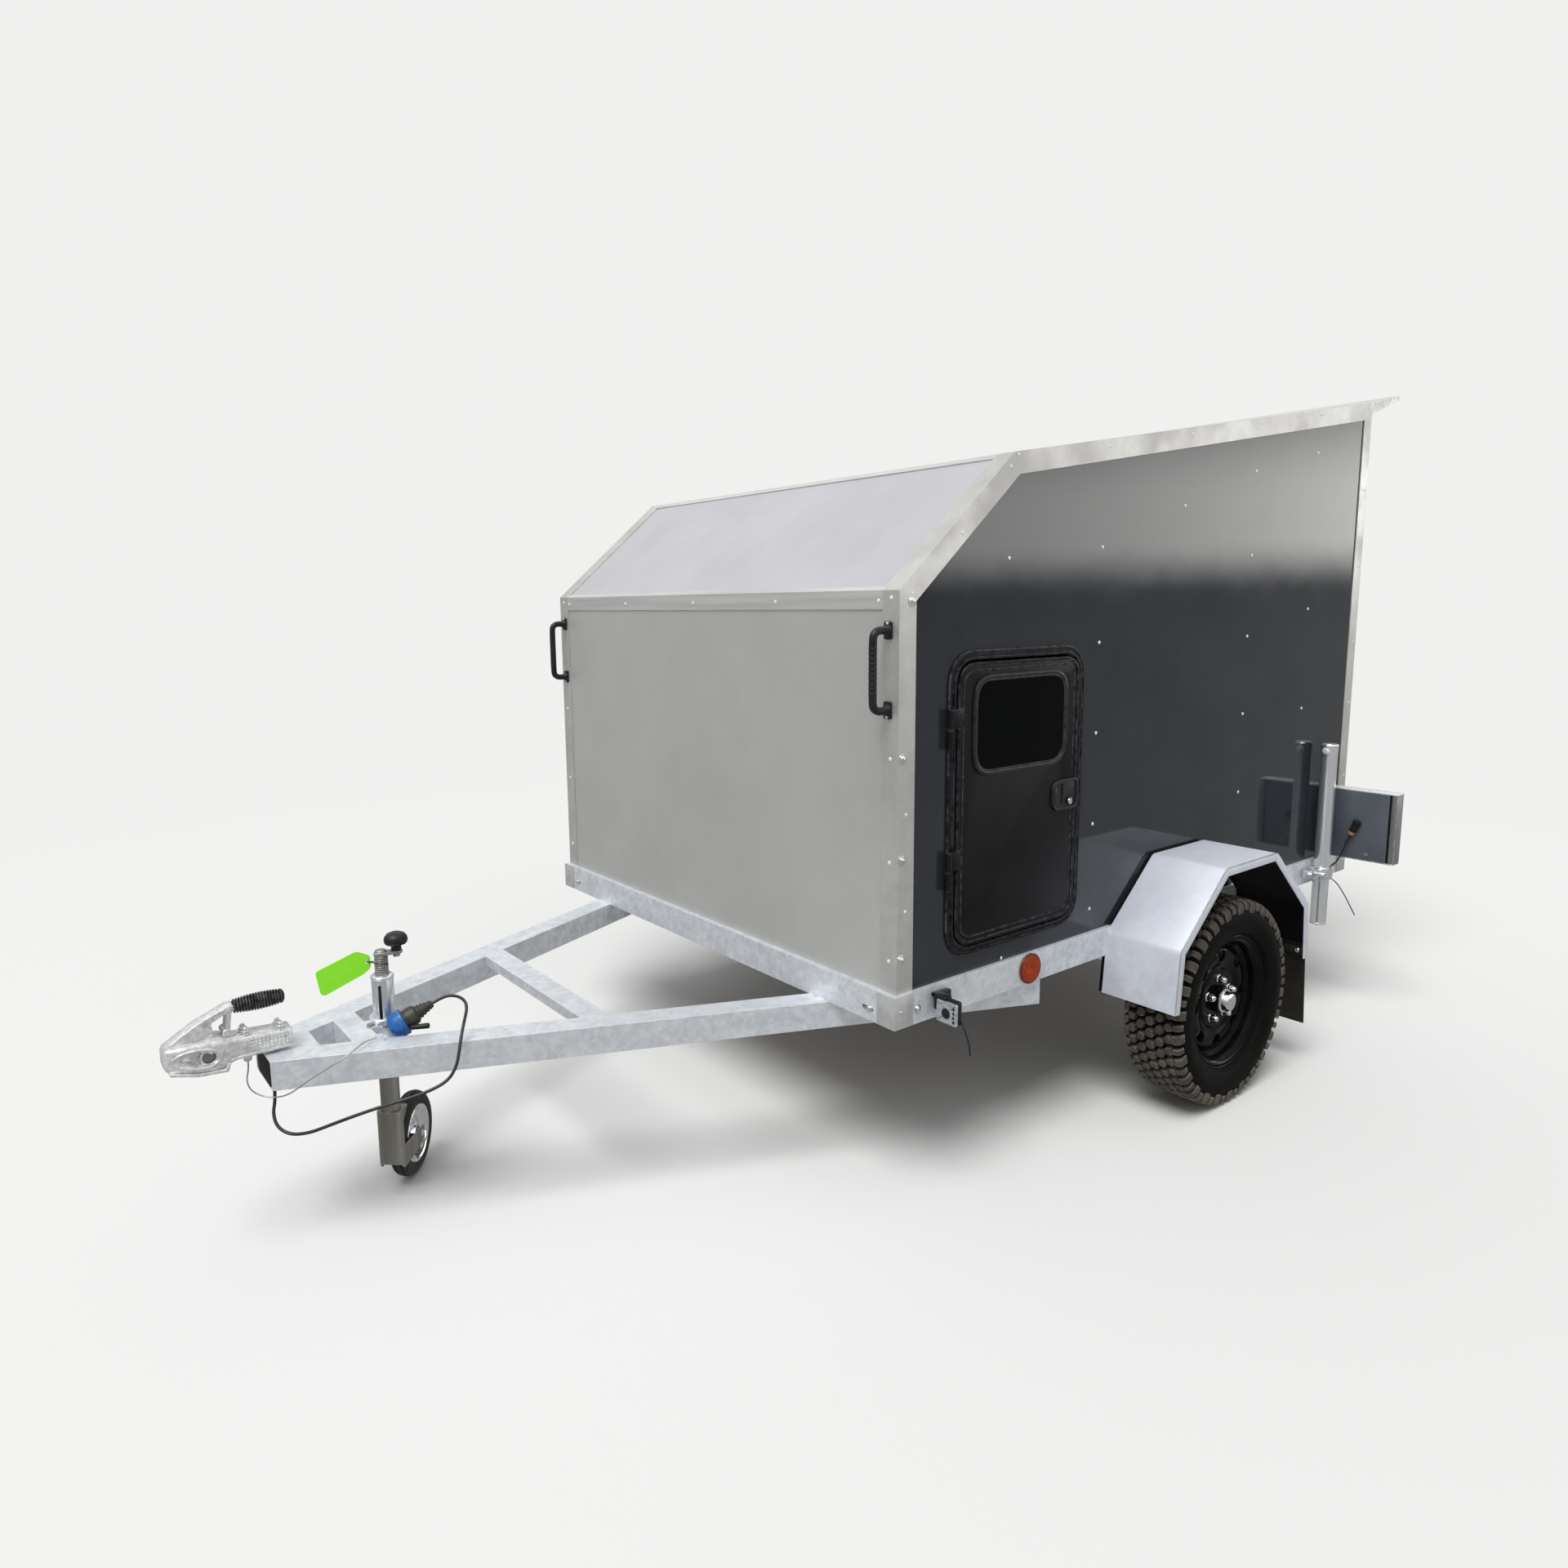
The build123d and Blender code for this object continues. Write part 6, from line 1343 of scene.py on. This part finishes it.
def paddle_lock(name):
    """A moulded lock on the plane y = 0, round (0, 0): its plate, dished paddle and keyhole."""
    def shape(inset):
        return eased([(inset - 50, inset - 38), (34, inset - 38), (50 - inset, -22),
                (50 - inset, 22), (34, 38 - inset), (inset - 50, 38 - inset)], 12, 5, True)

    plate = side_slab(name, shape(0), 0, 3.4, 1.2, 2)
    pocket = side_slab("pocket", eased([(6, -29), (32, -29), (40, -18), (40, 18), (32, 29),
            (6, 29)], 7, 5, True), 0.6, 9)
    cut(plate, pocket)
    bead = bevel(cut(side_slab("bead", shape(0.6), 2.4, 6.6), side_slab("inside", shape(6), 0, 9)),
            1.3, 2, 40)
    paddle = side_slab("paddle", eased([(27, -20), (38, -16), (38, 16), (27, 20)], 5, 4, True),
            0.4, 2.6, 0.9)
    paddle = joined([paddle, moved(facing(dome("stud", 3, 2, 12), (0, 1, 0)), (14, 0.6, 22))])
    barrel = turned("barrel", [(4, 0.001), (4, 11), (6.6, 11), (7.4, 9.8), (7.4, 0.001)],
            (-18, 0, -18), (0, 1, 0), 24)
    key = turned(name + "_key", [(7.2, 0.001), (7.2, 7.5), (8.6, 7), (8.8, 5.4), (8.2, 5),
            (8.2, 0.001)], (-18, 0, -18), (0, 1, 0), 20)
    cut(key, block("slit", (-18, 8.6, -18), (1.6, 1.6, 8), 0.2, 1))
    return joined([plate, bead, paddle, barrel]), key


def settle(piece, side, body, paint_used):
    """Fit a piece modelled on the left, or its mirrored twin on the right, and drop the other."""
    if side < 0:
        name = piece.name
        other = twin(piece)
        bpy.data.objects.remove(piece)
        other.name = name
        piece = other
    return fit(piece, body, paint_used)


def knuckle(name, low, high):
    return turned(name, [(0, 0.001), (0, 6.2), (0.8, 7), (high - low - 0.8, 7), (high - low, 6.2),
            (high - low, 0.001)], (*HINGE, low), (0, 0, 1), 20)


def add_doors():
    frame, leaf, pane = (-131, 359, 547, 1250), (-104, 332, 574, 1223), (-36, 264, 983.5, 1173.5)
    for side, name in ((1, "left"), (-1, "right")):
        body = "door_" + name
        base = ring_slab(f"door_frame_{name}_moulding", frame, 85, 0, 22, 759, 763.4, 1.0)
        outer = ring_slab("outer bead", frame, 85, 2, 9, 762, 766.4, 1.6)
        inner = ring_slab("inner bead", frame, 85, 15, 21, 762, 768.2, 1.6)
        lower = []
        for middle in HINGE_MIDDLES:
            lower += [knuckle("knuckle", middle - HINGE_HALF, middle - JOINT_GAP),
                    block("post", (355, 765, middle - 22.6), (12, 12, 44.6), 1.5)]
        moulding = settle(joined([base, outer, inner, *lower]), side, "trailer", door_plastic)
        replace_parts(moulding, f"door_frame_{name}")

        skin = side_slab(body + "_leaf", rounded(leaf, 0, 58), 741, 768.4)
        skin = bevel(cut(skin, side_slab("opening", rounded(pane, 0, 40), 735, 775)), 2.0, 3, 40)
        rim = ring_slab("leaf rim", leaf, 58, 0.6, 8, 767, 771, 1.7)
        line_in = ring_slab("leaf line", leaf, 58, 17, 20, 767.6, 769.6, 0.9)
        upper = []
        for middle in HINGE_MIDDLES:
            upper += [knuckle("knuckle", middle + JOINT_GAP, middle + HINGE_HALF),
                    block("strap", (341, 771.0, middle + 22.6), (40, 2.4, 43), 0.8)]
            for z in (middle + 12, middle + 33):
                upper.append(moved(facing(dome("screw", 4.0, 1.8, 12, 0.6), (0, 1, 0)),
                        (328, 772, z)))
        made = settle(joined([skin, rim, line_in, *upper]), side, body, door_plastic)
        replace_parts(made, body)

        seal = ring_slab(body + "_seal", pane, 42, -21, -10, 765, 773.6, 3.6)
        lip = ring_slab("seal lip", pane, 42, -11, -6, 766, 771.6, 1.4)
        settle(joined([seal, lip]), side, body, seal_rubber)
        glass = side_slab(body + "_glass", rounded(pane, -12, 42), 764, 769.8, 0.4, 1)
        back = side_slab("glass back", rounded(pane, 0.5, 42), 757, 765, 0.4, 1)
        glass = settle(joined([glass, back]), side, body, tinted)
        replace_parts(glass, f"door_window_{name}")

        plate, key = paddle_lock(body + "_lock")
        settle(moved(plate, (-54, 768.2, 885.5)), side, body, black_plastic)
        settle(moved(key, (-54, 768.2, 885.5)), side, body, chrome)


def add_grab_handles():
    """Moulded handles on the front corner trims: two feet and one rounded grip."""
    grip = tube("grab_handles_grips", [(513, 732, 1130), (530, 732, 1129), (545, 732, 1130),
            (556, 732, 1137), (558, 732, 1152), (558, 732, 1214), (558, 732, 1276),
            (556, 732, 1291), (545, 732, 1298), (530, 732, 1299), (513, 732, 1298)], 8.8, 20)
    feet = []
    for low in (1111, 1279):
        feet.append(front_slab("foot", eased(oblong(721, low, 743, low + 38), 5, 4, True), 511,
                517, 1.6))
        feet.append(turned("root", [(5, 0.001), (5, 13), (9, 11.4), (15, 9), (15, 0.001)],
                (511, 732, 1130 if low < 1200 else 1298), (1, 0, 0), 20))
    ribs = [turned("rib", [(0, 8.4), (0, 9.3), (2.6, 9.3), (2.6, 8.4), (0, 8.4)],
            (558, 732, 1166 + 10.5 * k), (0, 0, 1), 20) for k in range(10)]
    handles = both_sides(joined([grip, *feet, *ribs]))
    fit(handles, "trailer", black_plastic, 45)
    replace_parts(handles, "grab_handles")
    screw = facing(dome("grab_handle_screws", 3.8, 2.0, 16, 0.6), (1, 0, 0))
    fit(both_sides(spread(screw, [(517, 732, 1116), (517, 732, 1312)])), "trailer", chrome)


add_doors()
add_grab_handles()


# ---- Mudguards and flaps ---------------------------------------------------------------------
def inside_line(corners, depth):
    """An open bent line moved to its left by a depth, keeping its bends mitred."""
    runs = [(Vector(b) - Vector(a)).normalized() for a, b in zip(corners, corners[1:])]
    lefts = [Vector((-run.y, run.x)) for run in runs]
    made = [Vector(corners[0]) + lefts[0] * depth]
    for i in range(1, len(runs)):
        both = (lefts[i - 1] + lefts[i]).normalized()
        made.append(Vector(corners[i]) + both * (depth / both.dot(lefts[i])))
    made.append(Vector(corners[-1]) + lefts[-1] * depth)
    return [tuple(point) for point in made]


def strip(name, corners, near, far, low_y, high_y, round_off=0.0):
    """A bent strip between two depths inside an open line."""
    outline = inside_line(corners, near) + inside_line(corners, far)[::-1]
    return side_slab(name, outline, low_y, high_y, round_off)


def add_guards():
    folds = [(-245, 330), (-259, 492), (-459, 672), (-723, 672), (-923, 492), (-937, 330)]
    bent = eased(folds, 10, 4, False)
    for side, name in ((1, "left"), (-1, "right")):
        top = strip(f"mudguard_{name}_folded", bent, 0, 3, 770, 980)
        lip = strip("lip", bent, 0, 22, 976.6, 980)
        guard = bevel(joined([top, lip]), 1.0, 2, 50)
        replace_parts(settle(guard, side, "trailer", guard_metal),
                f"mudguard_{name}")
        # Painted shade: a black strip under the folded top, standing in for the shade under the
        # guard.
        inner = strip(f"mudguard_{name}_lining", bent, 3.2, 4.6, 771, 976)
        settle(inner, side, "trailer", lining_and_shade)
        bolt = facing(dome(f"mudguard_{name}_bolts", 7.5, 5.5, 20, 2.0), (0, 1, 0))
        bolts = spread(bolt, [(-590, 759, 640), (-440, 759, 600), (-740, 759, 600)])
        flange = strip("flange", bent, 3.2, 26, 759.6, 762.4, 0.8)
        settle(joined([bolts, flange]), side, "trailer", lining_and_shade)
        stud = joined([dome(f"mudflap_{name}_bolts", 6.5, 4.5, 16, 1.2),
                turned("washer", [(-0.6, 0.001), (-0.6, 10), (0.8, 10), (0.8, 0.001)], steps=20)])
        studs = spread(facing(stud, (1, 0, 0.08)), [(-922, y, 349) for y in (800, 875, 958)])
        settle(studs, side, "trailer", chrome)
        edge = block(f"mudflap_{name}_bar", (-922, 875, 349), (3, 196, 20), 0.8)
        settle(edge, side, "trailer", black_rubber)


add_guards()


# ---- Steadies, lamp boards and the rear hatch ------------------------------------------------
STEADY = (-1404, 800)       # a steady's place, seen from above
CLAMP_HEIGHT = 467          # middle of the clamp that holds it


def add_steadies():
    x, y = STEADY
    for side, name in ((1, "left"), (-1, "right")):
        body = "steady_" + name
        post = upright(body + "_post", [(294, 20.6), (294, 24), (296, 24.0), (880, 24),
                (880, 20.6), (294, 20.6)], x, y, 48)
        foot = upright("foot", [(294, 0.001), (294, 24.6), (299, 24.6), (299, 0.001)], x, y, 40)
        cap = upright("cap", [(862, 24.0), (862, 24.9), (885, 24.9), (889, 22), (890, 16),
                (890, 0.001), (862, 0.001)], x, y, 40)
        made = settle(joined([bevel(post, 0.5, 1, 40), foot, cap]), side, body, tube_zinc)
        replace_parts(made, body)
        head = joined([hex_head(body + "_bolt", 9.0, 6.5),
                turned("washer", [(-0.6, 0.001), (-0.6, 12), (1.2, 12), (1.2, 0.001)], steps=20)])
        head = moved(facing(head, (1, 0, 0)), (x + 24, y, 868))
        settle(head, side, body, bright_rivet)

    band = upright("stand_clamp_bands", [(448, 25.3), (448, 30), (450, 31.5), (484, 31.5),
            (486, 30), (486, 25.3), (448, 25.3)], x, y, 48)
    ridges = [upright("ridge", [(z, 30.5), (z, 33.4), (z + 4, 33.4), (z + 4, 30.5), (z, 30.5)],
            x, y, 40) for z in (455, 465, 475)]
    lug = block("lug", (x, 780, CLAMP_HEIGHT), (58, 20, 40), 2.5)
    cut(lug, upright("bore", [(440, 0.001), (440, 25.4), (495, 25.4), (495, 0.001)], x, y, 40))
    screws = []
    for dx in (-22, 22):
        screws.append(moved(facing(hex_head("bolt", 7.0, 5.0), (0, 1, 0)),
                (x + dx, 790, CLAMP_HEIGHT)))
    lever = turned("lever", [(0, 0.001), (0, 4), (22, 4), (24, 6.5), (30, 6.5), (32, 4.5),
            (32, 0.001)], (x + 30, y + 2, CLAMP_HEIGHT), (0.8, 0.5, 0.1), 16)
    arm = block("arm", (x + 52, 785, CLAMP_HEIGHT), (56, 16, 30), 2.5)
    wing = block("wing", (x + 38, 806, CLAMP_HEIGHT), (20, 26, 38), 3.0)
    studs = [moved(facing(hex_head("stud", 8.5, 9.0), (0, 1, 0)),
            (x + dx, top, CLAMP_HEIGHT)) for dx, top in ((38, 818), (68, 793))]
    clamps = both_sides(joined([band, *ridges, lug, *screws, lever, arm, wing, *studs]))
    fit(clamps, "trailer", zinc)
    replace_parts(clamps, "stand_clamps")
    tie = tube("stand_cable_ties", [(-1436, 792, 446), (-1456, 806, 440), (-1464, 826, 424),
            (-1466, 846, 396), (-1467, 866, 362), (-1467, 886, 328)], 1.8, 8)
    fit(both_sides(tie), "trailer", black_plastic)


def add_lamp_boards():
    """Each lamp board: a dark panel in a folded frame whose top flange is painted bright as a
    highlight, with its cable gland and lamps.
    """
    panel = front_slab("lamp_boards_panels", oblong(762, 510, 955, 731), -1492.4, -1489.4, 0.8)
    fit(both_sides(panel), "trailer", lamp_panel)
    # Painted highlight: the top flange takes the bright rivet finish, far lighter than the rest of
    # the frame, as light falls on it from above.
    top = front_slab("lamp_boards_lit_top", oblong(759, 732, 978, 737), -1534, -1489, 1.0)
    foot = front_slab("lamp_boards_frame", oblong(759, 507, 978, 510), -1534, -1489, 1.0)
    outer = front_slab("outer", oblong(961, 509, 978, 735), -1534, -1490, 1.6)
    inner = front_slab("inner", oblong(759, 509, 762, 735), -1534, -1489, 0.8)
    mark = side_slab("mark", oblong(-1489.6, 526, -1488.9, 534), 890, 902, 0.1, 1)
    fit(both_sides(top), "trailer", bright_rivet)
    boards = both_sides(joined([foot, outer, inner, mark]))
    fit(boards, "trailer", worn_alu)
    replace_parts(boards, "lamp_boards")
    back = front_slab("lamp_boards_backs", oblong(762, 511, 962, 731), -1496.0, -1493.0, 0.8)
    fit(both_sides(back), "trailer", lining_and_shade)

    lean = Vector((0, sin(radians(23)), cos(radians(23))))
    foot_at = Vector((-1478.8, 844, 576)) + lean * 13
    bullet = turned("cable_glands_boards", [(-2, 0.001), (-2, 4), (0, 6), (6, 8), (10, 10.2),
            (36, 10.6), (40, 10), (41, 12), (52, 12), (53, 9.5), (53, 0.001)], foot_at, lean, 24)
    nose = turned("nose gland", [(0, 0.001), (0, 5.4), (2, 6.4), (8, 6.4), (8, 0.001)],
            (1627, 44, 357), (0, 0, 1), 20)
    glands = joined([both_sides(bullet), nose])
    fit(glands, "trailer", black_rubber)
    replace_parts(glands, "cable_glands")
    collar = turned("cable_gland_collars", [(2, 4), (2, 8.4), (4, 9.4), (12, 11.0), (14, 9),
            (2, 4)], foot_at, lean, 24)
    fit(both_sides(collar), "trailer", copper_pink)

    # Tail lamps on the back of each board: stop, turn and reverse in one body.
    z_low, z_high = 592, 692
    box_low, box_high = 775, 950
    case = front_slab("tail_lamp_cases", eased(oblong(box_low, z_low, box_high, z_high), 10, 5,
            True), -1530, -1493, 2.0)
    fit(both_sides(case), "trailer", black_plastic)
    parts = {"tail_lamp_stop": (778, 846, red_lens, "red_lens"),
            "tail_lamp_turn": (849, 903, amber, "amber_lens"),
            "tail_lamp_reverse": (906, 947, clear_lens, "marker_lens")}
    for name, (low, high, look, slot) in parts.items():
        lens = front_slab(name, eased(oblong(low, 595, high, 689), 6, 4, True), -1540, -1529, 2.5,
                3)
        choose(lens, lambda c, n: n.x < -0.95 and c.x < -1539)
        bpy.ops.mesh.inset(thickness=5 * MM)
        push_out(at(1.2, 0, 0))
        leave()
        both = both_sides(lens)
        fit(both, "trailer", look)
        if name == "tail_lamp_stop":
            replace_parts(both, "tail_lamps")


def add_hatch():
    """The rear hatch: its edge trim, rivets and locks."""
    frame = front_slab("rear_hatch_edging", oblong(-706, 511, 706, 1923), -1624.6, -1622.6)
    cut(frame, front_slab("opening", oblong(-672, 545, 672, 1889), -1630, -1618))
    fit(bevel(frame, 0.5, 1, 40), "rear_hatch", alu_across)
    rivets = [(-1624.6, y, z) for z in (528, 1906) for y in range(-650, 651, 260)]
    rivets += [(-1624.6, y, z) for y in (-689, 689) for z in range(640, 1901, 240)]
    rivet = spread(facing(dome("rear_hatch_rivets", 4.6, 2.4), (-1, 0, 0)), rivets)
    fit(rivet, "rear_hatch", bright_rivet)
    plates, keys = [], []
    for y in (-520, 520):
        plate, key = paddle_lock("rear_hatch_locks")
        for piece, kept in ((plate, plates), (key, keys)):
            kept.append(moved(turn(piece, 90, (0, 0, 1), (0, 0, 0)), (HATCH_FACE, y, 581)))
    fit(joined(plates), "rear_hatch", black_plastic)
    fit(joined(keys), "rear_hatch", chrome)


add_steadies()
add_lamp_boards()
add_hatch()
